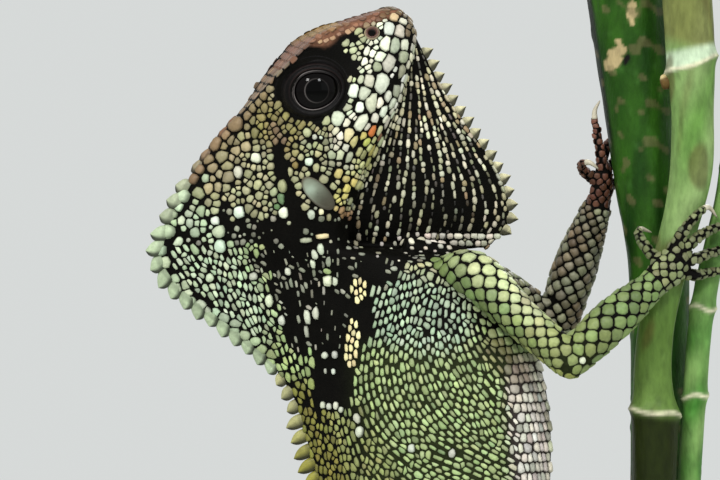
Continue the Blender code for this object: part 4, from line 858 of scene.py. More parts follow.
def scale_domes(seeds, name):
    """One dome for each seed, cut off half-way to its neighbours."""
    place, tone = seeds["place"], seeds["colour"]
    count = len(place)
    height, rise, keel, flat = (style_column(n, seeds) for n in ("height", "rise", "keel", "flat"))
    lie, cross, steady, reach, bend = outlines(seeds)
    cos, sin = outline_turns()
    reach = reach * (1 + REACH_SPREAD * RANDOM.standard_normal((count, OUTLINE_POINTS)))
    mean_reach = reach.mean(axis=1)
    tall = height * np.clip(mean_reach / FULL_REACH, *HEIGHT_LIMITS)
    tall = tall * (1 + HEIGHT_SPREAD * RANDOM.standard_normal(count))
    verts, tints = [], []
    for ring_share, level, shade in DOME_RINGS:
        r = reach * ring_share
        lift = tall[:, None] * level
        if level > 0:
            lift = lift + rise[:, None] * cos[None] * ring_share * level
            ridge = 1 - np.clip(np.abs(sin)[None] * 1.6, 0, 1)
            lift = lift + keel[:, None] * ridge * (0.3 + 0.7 * ring_share) * level
            if ring_share < 0.9:
                lift = lift - (1 - flat[:, None]) * 0.10 * tall[:, None]
        lift = lift + bend * r**2
        points = place[:, None, :] + r[:, :, None] * (
            cos[None, :, None] * lie[:, None, :] + sin[None, :, None] * cross[:, None, :])
        verts.append(points + lift[:, :, None] * steady[:, None, :])
        # Painted shade: each ring's tint is darker the nearer it lies to the scale's foot.
        tints.append(np.broadcast_to(tone[:, None, :] * shade, points.shape))
    peak = place + steady * (tall * (1.0 - 0.08 * flat) + keel * 0.45)[:, None]
    verts = np.concatenate([*verts, peak[:, None, :]], axis=1)
    # Painted highlight: the peak is a little lighter than the scale's own colour.
    tints = np.concatenate([*tints, np.clip(tone * 1.06, 0, 1)[:, None, :]], axis=1)

    rings = len(DOME_RINGS)
    peak_number = rings * OUTLINE_POINTS
    faces = np.vstack([grid_faces(rings, OUTLINE_POINTS),
                       fan_faces(peak_number - OUTLINE_POINTS, OUTLINE_POINTS, peak_number)])
    chunk = COAT_PIECE_LIMIT // ((2 * rings - 1) * OUTLINE_POINTS)
    # Chunks follow the body from snout to tail, so that each piece is one stretch of the coat.
    order = np.argsort(seeds["root"][:, 2], kind="stable")
    for number, start in enumerate(range(0, count, chunk)):
        pick = order[start : start + chunk]
        part_faces = faces[None] + (np.arange(len(pick)) * (peak_number + 1))[:, None, None]
        obj = add_piece(
            f"{name}_{number + 1}", verts[pick].reshape(-1, 3), part_faces.reshape(-1, 4),
            LOOKS["coat"], tints[pick].reshape(-1, 3), slot="skin_green")
        patch_map(obj.data, seeds["root"][pick])


def patch_map(mesh, roots):
    """A UV map where each scale is a small patch at its root's place on the unwrapped skin."""
    layer = mesh.uv_layers.new(name="OFBake")
    corner_verts = np.empty(len(mesh.loops), np.int32)
    mesh.loops.foreach_get("vertex_index", corner_verts)
    cos, sin = outline_turns()
    rings = [np.stack([cos, sin], axis=1) * share * PATCH_SIZE / 2 for share in PATCH_RINGS]
    local = np.vstack([*rings, [[0.0, 0.0]]])
    uv = roots[corner_verts // len(local), :2] + local[corner_verts % len(local)]
    layer.data.foreach_set("uv", uv.astype(np.float32).ravel())


# Where the scales of the body, pouch, limbs and digits grow

# Mixes of sizes, as (share, factor).
EVEN = ((1.0, 1.0),)
MIXED = ((0.05, 1.55), (0.16, 1.25), (0.79, 0.92))
STRING_MIX = ((0.05, 1.5), (0.15, 1.2), (0.80, 0.95))
# How near another string may be where a string starts and where it ends, in its own widths.
STRING_START = 0.94
STRING_END = 0.80
# Caps of the long scales as shares of their length and width, and the limits of their steps.
STRING_CAPS = (0.52, 0.43)
STRING_STEPS = (0.72, 1.35)
# Size, length and width of the scales over the forehead.
TOP_SIZES = (1.1, 0.66, 0.62)
# The pouch's beads: caps, the limits of their steps, and the red below which a bead is dim.
BEAD_CAPS = (0.52, 0.32)
BEAD_STEPS = (0.72, 1.3)
DIM_RED = 0.25
# Caps as shares of a scale's length and width. Those of DIAMOND are for rows turned half a scale
# from each other and set close, which makes rhombs.
COMMON_CAPS = (0.58, 0.60)
DIAMOND = (0.75, 0.375)
# A named scale's cap as a share of its length and width, and a digit's radii at root and claw.
SPOT_CAP = 0.47
DIGIT_RADII = (1.05, 0.75)
# Where rays to the skin start, outside the animal's right side.
OUTSIDE_Y = -60


def chart(name, along, around):
    """Places (u, v, order) on the unwrap: each form has its own box, `around` is 0 to 1 in it."""
    left, bottom, width, height = CHARTS[name]
    along, around = np.broadcast_arrays(np.asarray(along, float), np.asarray(around, float))
    return np.stack([left + width * around, bottom + height * along, along + CHART_ORDER[name]], 1)


def body_root(section, height, side):
    """The place on the unwrap of a section number and a height of the body."""
    section, height = np.atleast_1d(section), np.atleast_1d(height)
    return chart("body", section / len(BODY), 0.5 + side * (0.02 + 0.48 * height))


def pouch_root(s, height, side):
    return chart("pouch", s / (len(POUCH) - 1), 0.5 + side * 0.48 * height)


def body_lie(table, s, heights, side, roll=None):
    ahead = section_points(table, s + 0.05, heights, side, roll=roll)
    return unit(ahead - section_points(table, s - 0.05, heights, side, roll=roll))


def size_mix(count, mix):
    """A size factor for each scale: `mix` has (share, factor) pairs, each factor varied a little."""
    draw = RANDOM.uniform(0, 1, count)
    factor = np.full(count, mix[-1][1])
    edge = 0.0
    for share, value in mix[:-1]:
        factor[(draw >= edge) & (draw < edge + share)] = value
        edge += share
    return factor * RANDOM.uniform(*SIZE_LIMITS, count)


def body_seeds(seeds, spans, spacing, width, style, jitter=0.0, caps=COMMON_CAPS, mix=EVEN):
    """Rows of scales round the body; `spans` are the first and last section, and the two heights."""
    first, last, low, high = spans
    s = np.linspace(first, last, 200)
    run = run_along(section_points(BODY, s, 0.5 * (low + high), -1.0))
    rows = np.interp(np.arange(0.5, run[-1] / spacing) * spacing, run, s)
    fine = np.linspace(low, high, 80)
    for number, row in enumerate(rows):
        for side in SIDES:
            arc = run_along(section_points(BODY, row, fine, side))
            count = max(2, round(arc[-1] / width))
            places = (np.arange(count) + (0.25 if number % 2 else 0.75)) * arc[-1] / count
            places = places + jitter * width * RANDOM.uniform(-0.5, 0.5, count)
            t = np.interp(places, arc, fine)
            at = row + jitter * RANDOM.uniform(-0.5, 0.5, count) * (last - first) / len(rows)
            at = np.clip(at, 0.02, len(BODY) - 1.02)
            factor = size_mix(count, mix)
            seeds.add(
                section_points(BODY, at, t, side), body_lie(BODY, at, t, side), factor * width,
                factor * spacing * caps[0], factor * width * caps[1], style, body_root(at, t, side))


def flow(x, z):
    """The direction of the scales' length at a place of the side view."""
    weights = 1 / ((FLOW[:, 0] - x) ** 2 + (FLOW[:, 1] - z) ** 2 + FLOW_REACH**2) ** 2
    angle = math.radians(float(weights @ FLOW[:, 2] / weights.sum()))
    return math.sin(angle), -math.cos(angle)


def crowded(taken, x, z, reach):
    """Whether another string lies within reach of a place of the side view."""
    return len(taken) > 0 and np.min((taken[:, 0] - x) ** 2 + (taken[:, 1] - z) ** 2) < reach**2


def traced(start, way, taken, width, region):
    """Places (x, z, section, height) along the flow, as far as the region or another string."""
    x, z = start
    places = []
    while FLOW_LIMITS[0] < z < FLOW_LIMITS[1]:
        dx, dz = flow(x, z)
        x, z = x + way * dx * FLOW_STEP, z + way * dz * FLOW_STEP
        section, height = section_of(x, z)
        if not (region[0] < height < region[1] and section > region[2]):
            break
        if crowded(taken, x, z, STRING_END * width):
            break
        places.append((x, z, section, height))
    return places


def string_seeds(seeds, starts, length, width, rank, region, taken):
    """Strings of long scales that follow `flow` from each of the starts (x, z)."""
    for start in starts:
        if crowded(taken, *start, STRING_START * width):
            continue
        line = traced(start, -1.0, taken, width, region)[::-1] + traced(start, 1.0, taken, width, region)
        if len(line) * FLOW_STEP < 2 * length:
            continue
        line = np.array(line)
        taken = np.vstack([taken, line[:, :2]])
        count = round(len(line) * FLOW_STEP / length * 1.4) + 3
        steps = length * RANDOM.uniform(*STRING_STEPS, count)
        middles = np.cumsum(steps) - steps / 2
        steps, middles = (values[middles < len(line) * FLOW_STEP] for values in (steps, middles))
        at = [np.interp(middles / FLOW_STEP, np.arange(len(line)), line[:, k]) for k in range(4)]
        shift = RANDOM.uniform(-0.10, 0.10, len(steps)) * width
        stout = size_mix(len(steps), STRING_MIX)
        for x, z, section, height, step, big in zip(at[0] + shift, *at[1:], steps, stout):
            dx, dz = flow(x, z)
            for side in SIDES:
                place = side_place(x, z, side)
                if place is not None:
                    seeds.add(
                        place[None], (dx, 0.0, dz), rank + big, STRING_CAPS[0] * step * big**0.4,
                        STRING_CAPS[1] * width * big, "string", body_root(section, height, side))
    return taken


def top_seeds(seeds, first, last, spacing, style):
    """Scales over the forehead, between the two upper edges of the head."""
    for number, s in enumerate(np.arange(first, last, spacing)):
        width = half_widths_at(rows_at(BODY, s), np.zeros(1))[0]
        count = max(1, round(width / 1.1))
        for side in SIDES:
            over = -(np.arange(count) + (0.5 if number % 2 else 0.2)) / count
            at = s + RANDOM.uniform(-0.1, 0.1, count) * spacing
            over = np.clip(over, -0.98, -0.05)
            seeds.add(
                section_points(BODY, at, over, side), body_lie(BODY, at, over, side),
                *TOP_SIZES, style, chart("crown", at / 12, 0.5 + 0.5 * side * over))


def pouch_seeds(seeds):
    """Beads in strings that fan out from the chin, with dark skin between the strings."""
    last = len(POUCH) - 1
    fine = np.linspace(0.05, last - 0.1, 240)
    gap = np.interp(fine, np.arange(last + 1), POUCH_DEPTHS) / POUCH_ROWS
    # Near the chin only every second, fourth or eighth string goes on.
    stride = np.select([gap > 0.8, gap > 0.42, gap > 0.22], [1, 2, 4], 8)
    for row in range(POUCH_ROWS):
        t = (row + 0.5) / POUCH_ROWS
        arc = run_along(section_points(POUCH, fine, t, -1.0, roll=1.0))
        for side in SIDES:
            steps = BEAD_LENGTH * RANDOM.uniform(*BEAD_STEPS, round(arc[-1] / BEAD_LENGTH * 1.6) + 4)
            middles = np.cumsum(steps) - steps / 2 - RANDOM.uniform(0, 1)
            inside = (middles > 0) & (middles < arc[-1])
            middles, steps = middles[inside], steps[inside]
            s = np.interp(middles, arc, fine)
            step_of = np.interp(middles, arc, stride)
            keep = (row % np.maximum(np.round(step_of), 1) == 0) & (RANDOM.uniform(0, 1, len(s)) > 0.02)
            s, steps = s[keep], steps[keep]
            if not len(s):
                continue
            wave = 0.010 * np.sin(s * 1.9 + row * 1.7) + 0.007 * RANDOM.standard_normal(len(s))
            heights = np.clip(t + wave, 0.02, 0.985)
            stout = RANDOM.uniform(0.60, 1.2, len(s))
            tones = BEAD_TONES[RANDOM.choice(len(BEAD_TONES), len(s), p=BEAD_SHARES)]
            dim = tones[:, 0] < DIM_RED
            stout = np.where(dim, stout * 0.7, stout)
            places = section_points(POUCH, s, heights, side, roll=1.0)
            # The beads fade towards the middle of the pouch's lower half.
            from_middle = np.hypot((places[:, 0] - 14.0) / 5.5, (places[:, 2] - 3.5) / 4.0)
            faded = RANDOM.uniform(0, 1, len(s)) < 0.12 + 0.88 * (1 - smooth_step(0.5, 1.3, from_middle))
            fade = np.where(faded, RANDOM.uniform(0.08, 0.5, len(s)), 1.0)
            stout = stout * (0.75 + 0.25 * fade)
            fade = fade * (0.88 + 0.34 * smooth_step(8.0, 20.0, places[:, 2]))
            seeds.add(
                places, body_lie(POUCH, s, heights, side, roll=1.0),
                stout, BEAD_CAPS[0] * steps * np.where(dim, 0.75, 1.0) * (0.8 + 0.2 * fade),
                BEAD_CAPS[1] * stout, "bead", pouch_root(s, heights, side), tones * fade[:, None])


def pouch_lip_seeds(seeds):
    """Two rows of flattened white beads along the lower edge of the pouch."""
    for short_of, low in ((0.28, 0.36), (0.62, 0.50)):
        t = np.arange(low, 0.97, 0.052)
        t = t + RANDOM.uniform(-0.012, 0.012, len(t))
        s = np.full(len(t), len(POUCH) - 1 - short_of)
        for side in SIDES:
            place = section_points(POUCH, s, t, side, roll=1.0)
            ahead = section_points(POUCH, s, t + 0.02, side, roll=1.0)
            seeds.add(place, unit(ahead - place), 3.0, RANDOM.uniform(0.55, 0.85, len(t)), 0.46, "bead",
                      pouch_root(s, t, side), srgb(206, 202, 186))


def tube_seeds(seeds, line, radii, spacing, width, style, name, order, colour=None, flatten=1.0,
               start=None, caps=(0.58, 0.56), jitter=0.1):
    """Rows of scales round a limb or digit, each row turned half a scale from the last.

    Every row has as many scales, and they are as much smaller as the limb is thinner.
    """
    run = run_along(line)
    middle = float(np.mean(radii))
    girth = 2 * math.pi * middle * (0.5 + 0.5 * flatten)
    count = max(5, round(girth / width))
    spacing, width = spacing * girth / (count * width), girth / count
    rows = []
    at = 0.3 * spacing
    while at < run[-1]:
        rows.append(at)
        at += spacing * float(np.interp(at, run, radii)) / middle
    if len(rows) < 2:
        return
    centre = np.stack([np.interp(rows, run, line[:, k]) for k in range(3)], axis=1)
    radius = np.interp(rows, run, radii)
    tangent, side, upper = line_frames(centre, start)
    for i in range(len(rows)):
        size = radius[i] / middle
        turns = (np.arange(count) + 0.5 * (i % 2)) * 2 * math.pi / count
        turns = turns + RANDOM.uniform(-jitter, jitter, count) * 2 * math.pi / count
        out = flatten * np.cos(turns)[:, None] * side[i] + np.sin(turns)[:, None] * upper[i]
        seeds.add(
            centre[i] + radius[i] * out, tangent[i], width, size * spacing * caps[0],
            size * width * caps[1], style,
            chart(name, rows[i] / run[-1], (turns / (2 * math.pi) + order) / LIMB_CHART_SHARE),
            colour)


def ball_seeds(seeds, centre, radius, count, size, style, name, order, colour):
    """Scales all over a joint's ball, where the rows of two lengths would leave a gap."""
    number = np.arange(count) + 0.5
    turn, rise = number * GOLDEN_ANGLE, 1 - 2 * number / count
    flat = np.sqrt(1 - rise**2)
    out = np.stack([flat * np.cos(turn), flat * np.sin(turn), rise], axis=1)
    seeds.add(
        np.asarray(centre) + radius * out, (0.3, 0.0, -1.0), 0.6 * size, size, size, style,
        chart(name, 0.97 * np.ones(count), (order + number / count) / LIMB_CHART_SHARE), colour)


def spot_seeds(seeds, spots, style, colour, lie, sides=SIDES):
    """Single named scales at places (x, z, length, width) of the side view, on both sides."""
    for x, z, long, wide, *own in spots:
        for side in sides:
            place = side_place(x, z, side)
            if place is not None:
                seeds.add(
                    place[None], lie, SPOT_RANK + max(long, wide), long * SPOT_CAP, wide * SPOT_CAP, style,
                    body_root(*section_of(x, z), side), own[0] if own else colour)


def line_spots(lines, length, width):
    """Places (x, z, length, width) of long scales along given lines (x, z)."""
    spots = []
    for line in lines:
        line = np.array(line, float)
        run = run_along(line)
        at = length * RANDOM.uniform(0, 0.6)
        while at < run[-1]:
            step = length * RANDOM.uniform(0.8, 1.35)
            spots.append((np.interp(at, run, line[:, 0]) + RANDOM.uniform(-0.07, 0.07),
                          np.interp(at, run, line[:, 1]), step * 1.05, width * RANDOM.uniform(0.85, 1.2)))
            at += step
    return spots


def side_place(x, z, side):
    """The skin's place at (x, z), seen along Y from the right or the left."""
    right = SKIN_TREE.ray_cast(Vector((x, OUTSIDE_Y, z)), Vector((0, 1, 0)))[0]
    if right is None:
        return None
    if side < 0:
        return np.array(right)
    # The roll's mirror image: the place on the left that has the same section and height.
    guess = mirrored(np.array(right)[None], float(roll_weight(section_of(x, z)[0])))[0]
    return np.array(SKIN_TREE.find_nearest(Vector(guess))[0])


# Materials


def srgb(red, green, blue):
    """A colour given as 0 to 255 display values, as linear values."""
    value = np.array([red, green, blue], float) / 255
    return np.where(value <= 0.04045, value / 12.92, ((value + 0.055) / 1.055) ** 2.4)


def new_material(name, roughness, metallic=0.0, coat=0.0):
    material = bpy.data.materials.new(name)
    material.use_nodes = True
    nodes, links = material.node_tree.nodes, material.node_tree.links
    shader = nodes["Principled BSDF"]
    shader.inputs["Roughness"].default_value = roughness
    shader.inputs["Metallic"].default_value = metallic
    shader.inputs["Coat Weight"].default_value = coat
    shader.inputs["Coat Roughness"].default_value = 0.08
    return material, nodes, links, shader


def new_node(nodes, kind, **values):
    """A shader node with the values of some inputs, whose names have _ for a space."""
    node = nodes.new(f"ShaderNode{kind}")
    for name, value in values.items():
        node.inputs[name.replace("_", " ")].default_value = value
    return node


def noise_node(nodes, links, scale, detail=3.0, stretch=(1.0, 1.0, 1.0)):
    """Noise over the object's own coordinates, `scale` in features for each metre."""
    place = new_node(nodes, "TexCoord")
    mapping = new_node(nodes, "Mapping", Scale=stretch)
    noise = new_node(nodes, "TexNoise", Scale=scale, Detail=detail)
    links.new(place.outputs["Object"], mapping.inputs["Vector"])
    links.new(mapping.outputs["Vector"], noise.inputs["Vector"])
    return noise.outputs["Fac"]


def map_range(nodes, links, source, **values):
    """A number read from `source` and mapped to another range."""
    node = new_node(nodes, "MapRange", **values)
    links.new(source, node.inputs["Value"])
    return node.outputs["Result"]


def add_ramp(nodes, links, shader, source, first, last, low=0.0, high=1.0):
    """Colours the shader from `source`: the first colour at `low` and the last at `high`."""
    node = new_node(nodes, "ValToRGB")
    for element, position, colour in zip(node.color_ramp.elements, (low, high), (first, last)):
        element.position = position
        element.color = (*colour, 1)
    links.new(source, node.inputs["Fac"])
    links.new(node.outputs["Color"], shader.inputs["Base Color"])


def add_bumps(nodes, links, shader, source, strength, distance):
    node = new_node(nodes, "Bump", Strength=strength, Distance=distance)
    links.new(source, node.inputs["Height"])
    links.new(node.outputs["Normal"], shader.inputs["Normal"])


def tinted_material(name, roughness, scale, contrast, bump, specular, stretch=(1, 1, 1)):
    """The stored tint, varied by noise in colour, roughness and bump."""
    material, nodes, links, shader = new_material(name, roughness)
    shader.inputs["Specular IOR Level"].default_value = specular
    tint = new_node(nodes, "Attribute")
    tint.attribute_name = "tint"
    noise = noise_node(nodes, links, scale, stretch=stretch)
    band = map_range(nodes, links, noise, From_Min=0.3, From_Max=0.7,
                     To_Min=1.0 - contrast, To_Max=1.0 + contrast)
    mix = new_node(nodes, "VectorMath")
    mix.operation = "SCALE"
    links.new(tint.outputs["Color"], mix.inputs[0])
    links.new(band, mix.inputs["Scale"])
    links.new(mix.outputs["Vector"], shader.inputs["Base Color"])
    rough = map_range(nodes, links, noise, To_Min=roughness * 0.8, To_Max=roughness * 1.2)
    links.new(rough, shader.inputs["Roughness"])
    add_bumps(nodes, links, shader, noise_node(nodes, links, scale * 2.5, stretch=stretch), bump, 0.00012)
    return material


def wood_material():
    material, nodes, links, shader = new_material("stand_wood", 0.38, coat=0.15)
    noise = noise_node(nodes, links, 60.0, 6.0, (1.0, 14.0, 14.0))
    add_ramp(nodes, links, shader, noise, srgb(38, 27, 20), srgb(84, 60, 43), 0.35, 0.68)
    add_bumps(nodes, links, shader, noise, 0.25, 0.0001)
    return material


def steel_material():
    material, nodes, links, shader = new_material("stand_steel", 0.32, 1.0)
    noise = noise_node(nodes, links, 900.0, 2.0, (1.0, 1.0, 0.02))
    add_ramp(nodes, links, shader, noise, (0.36, 0.36, 0.37), (0.55, 0.55, 0.56))
    links.new(map_range(nodes, links, noise, To_Min=0.22, To_Max=0.42), shader.inputs["Roughness"])
    return material


# Colours of the coat

CREAM = srgb(219, 220, 198)
MINT = srgb(180, 196, 168)
PEBBLE = srgb(162, 160, 124)
LIME = srgb(152, 170, 116)
OLIVE = srgb(130, 126, 70)
TEAL = srgb(158, 178, 154)
BROWN = srgb(128, 94, 68)
RUST = srgb(126, 88, 68)
GOLD = srgb(150, 120, 72)
ORANGE = srgb(176, 104, 52)
YELLOW = srgb(206, 196, 116)
PALE_PINK = srgb(222, 214, 204)
WHITE = srgb(205, 211, 191)
STREAK = srgb(236, 224, 168)
DARK_SKIN = srgb(9, 8, 6)
SPECK = srgb(140, 141, 124)
ARM_LIME = srgb(114, 134, 80)
FAR_ARM = srgb(127, 127, 103)
HAND = srgb(124, 130, 90)
FAR_HAND = srgb(98, 62, 48)
HORN = srgb(206, 198, 176)
BEAD_TONES = np.array([
    srgb(196, 192, 168), srgb(170, 164, 134), srgb(146, 128, 98), srgb(130, 130, 104), srgb(80, 76, 70)])
BEAD_SHARES = (0.38, 0.26, 0.08, 0.14, 0.14)
LIMB_TONES = {"arm_right": ARM_LIME, "arm_left": FAR_ARM, "leg_right": srgb(122, 142, 84),
              "leg_left": srgb(128, 132, 96)}

# Areas of the coat on the side view: from (x, z) to (x, z), radius, soft edge, colour, strength.
# Those with a name tint the bare skin too.
CROWN_REAR = (-13.4, 29.6, -6.0, 33.4, 2.6, 1.0, RUST, 1.0)
CROWN_FRONT = (-6.0, 33.4, 6.0, 37.6, 1.6, 0.8, RUST, 1.0)
BROW = (-11.5, 32.2, -4.0, 34.6, 0.8, 0.9, GOLD, 0.8)
BELLY = (26.5, -22.0, 28.5, -60.0, 3.4, 2.4, PALE_PINK * 0.86, 0.9)
AREAS = (
    (-31.0, 3.0, -21.0, -12.0, 7.0, 6.0, MINT, 0.85),
    (-14.6, 26.5, -27.5, 10.5, 2.0, 2.0, BROWN, 0.85),
    (-16.0, 21.0, -24.5, 8.0, 2.6, 4.0, srgb(146, 128, 92), 0.5),
    (-14.0, 18.5, -8.0, 15.0, 3.4, 3.0, srgb(130, 118, 66), 0.85),
    (7.0, 34.5, 3.4, 24.0, 4.4, 1.6, CREAM, 0.95),
    CROWN_REAR,
    CROWN_FRONT,
    BROW,
    (-6.5, 31.6, -0.5, 33.8, 0.35, 0.4, srgb(160, 128, 98), 0.8),
    (3.4, 24.0, -0.8, 14.2, 4.2, 2.0, CREAM, 0.85),
    (-1.0, 30.0, -1.5, 23.0, 1.8, 1.6, srgb(196, 202, 164), 0.8),
    (-7.0, 14.5, -3.6, 9.0, 3.0, 2.0, srgb(160, 162, 128), 0.75),
    (1.6, 16.6, 0.6, 12.4, 1.9, 1.4, srgb(176, 178, 112), 0.85),
    (-1.4, 9.6, -4.0, 6.2, 1.3, 1.2, YELLOW, 0.8),
    (-3.6, 4.2, -0.4, 3.2, 0.9, 0.8, srgb(150, 96, 58), 0.7),
    (2.0, -10.0, 12.0, -12.5, 6.0, 4.0, TEAL, 0.85),
    (-10.0, -27.5, -4.0, -46.0, 5.5, 4.0, srgb(118, 113, 46), 0.95),
    (-1.0, -30.0, 4.0, -40.0, 3.5, 4.0, srgb(132, 134, 76), 0.7),
    BELLY,
    (21.0, -17.5, 25.0, -21.0, 2.2, 2.0, srgb(104, 78, 52), 0.6),
    (4.4, 37.2, 8.8, 33.8, 1.7, 1.0, srgb(104, 84, 52), 0.9),
    (-13.1, 8.6, -12.0, 3.6, 0.9, 0.9, srgb(142, 164, 132), 0.7),
    (-13.4, 18.0, -12.6, 15.2, 1.0, 0.9, srgb(122, 98, 80), 0.8),
)
# Black areas: the same, with the share of scales that stay pale, as small beads.
DARK_AREAS = (
    (-12.9, 14.4, -12.4, 10.8, 1.1, 0.7, 0.03),
    (-12.2, 10.6, -10.5, 4.0, 1.0, 0.7, 0.03),
    (-11.0, 1.0, 4.0, -2.0, 4.6, 3.0, 0.50),
    (-5.4, 31.4, -1.6, 27.2, 1.5, 0.8, 0.06),
    (-3.4, 32.7, -1.4, 32.1, 0.6, 0.5, 0.10),
    (4.0, -1.5, 13.0, -1.6, 2.0, 1.4, 0.55),
    (2.6, 5.6, 5.0, 2.0, 1.6, 1.2, 0.35),
    (-10.0, -4.0, -8.0, -13.5, 4.6, 3.6, 0.60),
    (-12.5, 1.4, -20.0, 1.4, 1.8, 2.4, 0.80),
    (-14.0, -2.4, -16.0, -3.6, 1.9, 2.0, 0.35),
    (-21.4, 5.4, -22.0, -1.6, 1.0, 1.0, 0.30),
    (-27.6, 0.6, -26.4, -0.4, 0.9, 0.7, 0.20),
    (-24.4, 15.0, -21.6, 12.0, 0.4, 0.9, 0.20),
    (-4.2, -9.8, -0.2, -10.8, 1.2, 0.8, 0.04),
    (1.2, -2.6, 2.6, -6.4, 1.8, 1.2, 0.22),
    (0.9, -6.0, 1.2, -15.4, 0.95, 0.7, 0.06),
    (-5.2, -10.5, -4.4, -17.0, 2.4, 2.0, 0.60),
    (-4.5, -20.2, -4.5, -24.2, 3.1, 0.6, 0.0),
    (-1.4, 7.6, 0.8, 5.0, 1.5, 1.2, 0.10),
    (-3.4, -5.0, -2.8, -11.5, 1.7, 1.0, 0.50),
    (-3.2, -11.0, -3.6, -18.5, 1.6, 1.0, 0.55),
    (4.2, 12.0, 2.0, 6.0, 1.2, 1.0, 0.50),
)


def area_weight(x, z, area):
    """How much of an area covers each (x, z): 1 inside, 0 past its soft edge."""
    x0, z0, x1, z1, radius, soft = area[:6]
    span = np.array([x1 - x0, z1 - z0])
    length = max(float(span @ span), 1e-6)
    share = np.clip(((x - x0) * span[0] + (z - z0) * span[1]) / length, 0, 1)
    distance = np.hypot(x - x0 - share * span[0], z - z0 - share * span[1])
    return 1 - smooth_step(radius - soft / 2, radius + soft / 2, distance)


def waves(points, length, seed):
    """A smooth value from -1 to 1 that varies over about `length`."""
    draws = np.random.default_rng(seed)
    total = np.zeros(len(points))
    for _ in range(5):
        direction = unit(draws.standard_normal(3)) * 2 * math.pi / (length * draws.uniform(0.7, 1.6))
        total += np.sin(points @ direction + draws.uniform(0, 6.28))
    return total / 3.0


def lerp(colours, target, weight):
    """Colours moved towards a target by each weight; a single colour serves all the weights."""
    return colours + (np.asarray(target) - colours) * np.asarray(weight)[..., None]


def coat_colours(points):
    """The coat's colour at each place of head, neck, trunk and tail, without its dark areas."""
    x, z = points[:, 0], points[:, 2]
    colours = lerp(LIME, PEBBLE, smooth_step(-9.0, 0.0, z + 0.35 * x))
    rear = 1 - smooth_step(-60.0, -46.0, z)
    bands = 0.5 + 0.5 * np.sin((z + 0.25 * x) * 0.36)
    colours = lerp(colours, OLIVE, rear * (0.35 + 0.3 * waves(points, 22.0, 3)))
    colours = lerp(colours, srgb(84, 70, 44), rear * bands**3 * 0.75)
    for area in AREAS:
        colours = lerp(colours, area[6], area_weight(x, z, area) * area[7])
    mottle = waves(points, 5.0, 5)
    return colours * (1 + 0.10 * mottle[:, None])


def arm_colours(points):
    """The near arm: green on the shoulder with a cream painted highlight along the top of the upper arm
    towards the elbow, green again and then grey.
    """
    x, z = points[:, 0], points[:, 2]
    elbow = np.hypot((x - 31.0) / 10.0, (z + 15.5) / 8.0)
    colours = lerp(ARM_LIME, srgb(134, 144, 88), 0.9 * (1 - smooth_step(0.4, 1.1, elbow)))
    # Painted highlight: the top of the upper arm is lightened to cream.
    upper = smooth_step(-10.0, -5.0, z - 0.85 * (20.0 - x)) * (1 - smooth_step(27.0, 32.0, x))
    colours = lerp(colours, srgb(206, 212, 162), 0.8 * upper)
    under = smooth_step(17.5, 19.5, x) * (1 - smooth_step(-19.0, -16.5, z + 0.1 * x))
    colours = lerp(colours, srgb(156, 158, 74), 0.6 * under * (1 - smooth_step(34.0, 37.0, x)))
    return lerp(colours, HAND, smooth_step(46.0, 51.0, x))


def on_form(seeds, name):
    """Whether each scale grows on the form with this name."""
    order = seeds["root"][:, 2] - CHART_ORDER[name]
    return (order >= 0) & (order < 2)


def paint(seeds):
    """Gives each scale without a colour of its own one from its place, and a little variety."""
    points = seeds["place"]
    x, z = points[:, 0], points[:, 2]
    own = seeds["colour"][:, 0] >= 0
    colours = np.where(own[:, None], seeds["colour"], coat_colours(points))
    near_arm = of_style(seeds, "limb") & on_form(seeds, "arm_right")
    colours[near_arm] = arm_colours(points[near_arm])
    draw = RANDOM.uniform(0, 1, len(points))
    gone = np.zeros(len(points), bool)
    brown = 0.55 * smooth_step(0.0, 0.6, waves(points, 6.0, 31)) * on_form(seeds, "arm_left")
    colours = lerp(colours, srgb(108, 80, 58), brown)
    mottled = of_style(seeds, "pebble", "flank", "string", "plate")
    for area in DARK_AREAS:
        weight = area_weight(x, z, area) * mottled * ~own
        black = (weight > 0.15 + 0.8 * draw) & (weight > 0)
        pale = black & (RANDOM.uniform(0, 1, len(points)) < area[6])
        gone |= black & ~pale
        tone = RANDOM.uniform(0.55, 1.25, len(points))[:, None]
        colours[pale] = (SPECK * tone)[pale]
        small = RANDOM.uniform(0.5, 0.9, len(points))
        for field in ("long", "wide"):
            seeds[field] = np.where(pale, seeds[field] * small, seeds[field])
    shade = 1 + SHADE_SPREAD * RANDOM.standard_normal(len(points))
    hue = 1 + HUE_SPREAD * RANDOM.standard_normal((len(points), 3))
    seeds["colour"] = np.clip(colours * np.clip(shade, 0.6, 1.4)[:, None] * hue, 0.002, 0.95)
    return picked(seeds, ~gone)


# The skin

# How far the skin lies inside the solids: body and limbs, pouch and palms, and lids.
SKIN_DEPTH = 0.28
THIN_SKIN_DEPTH = 0.2
LID_SKIN_DEPTH = 0.35
# The size of the voxels that join the forms, and the smoothing after them.
SKIN_VOXEL = 0.42
SMOOTHING = 0.5
SMOOTHING_STEPS = 4
# Rows of the skin's two lofts and points on each side of a row, and the sides of its tubes.
BODY_GRID = (700, 44)
POUCH_GRID = (120, 30)
LIMB_SIDES = 28
PALM_SIDES = 24
FOLD_SIDES = 20
DIGIT_SIDES = 14
# Radii: the fold's first and last, and a digit's at its root, before its end and at its end.
FOLD_RADII = (1.7, 1.1)
DIGIT_SKIN_RADII = (0.95, 0.66, 0.42)
PALM_END_SHARE = 0.8
# Where the claw starts on a digit, and how far the digit's skin goes on under it.
DIGIT_CLAW_START = 0.72
CLAW_OVERLAP = 0.06


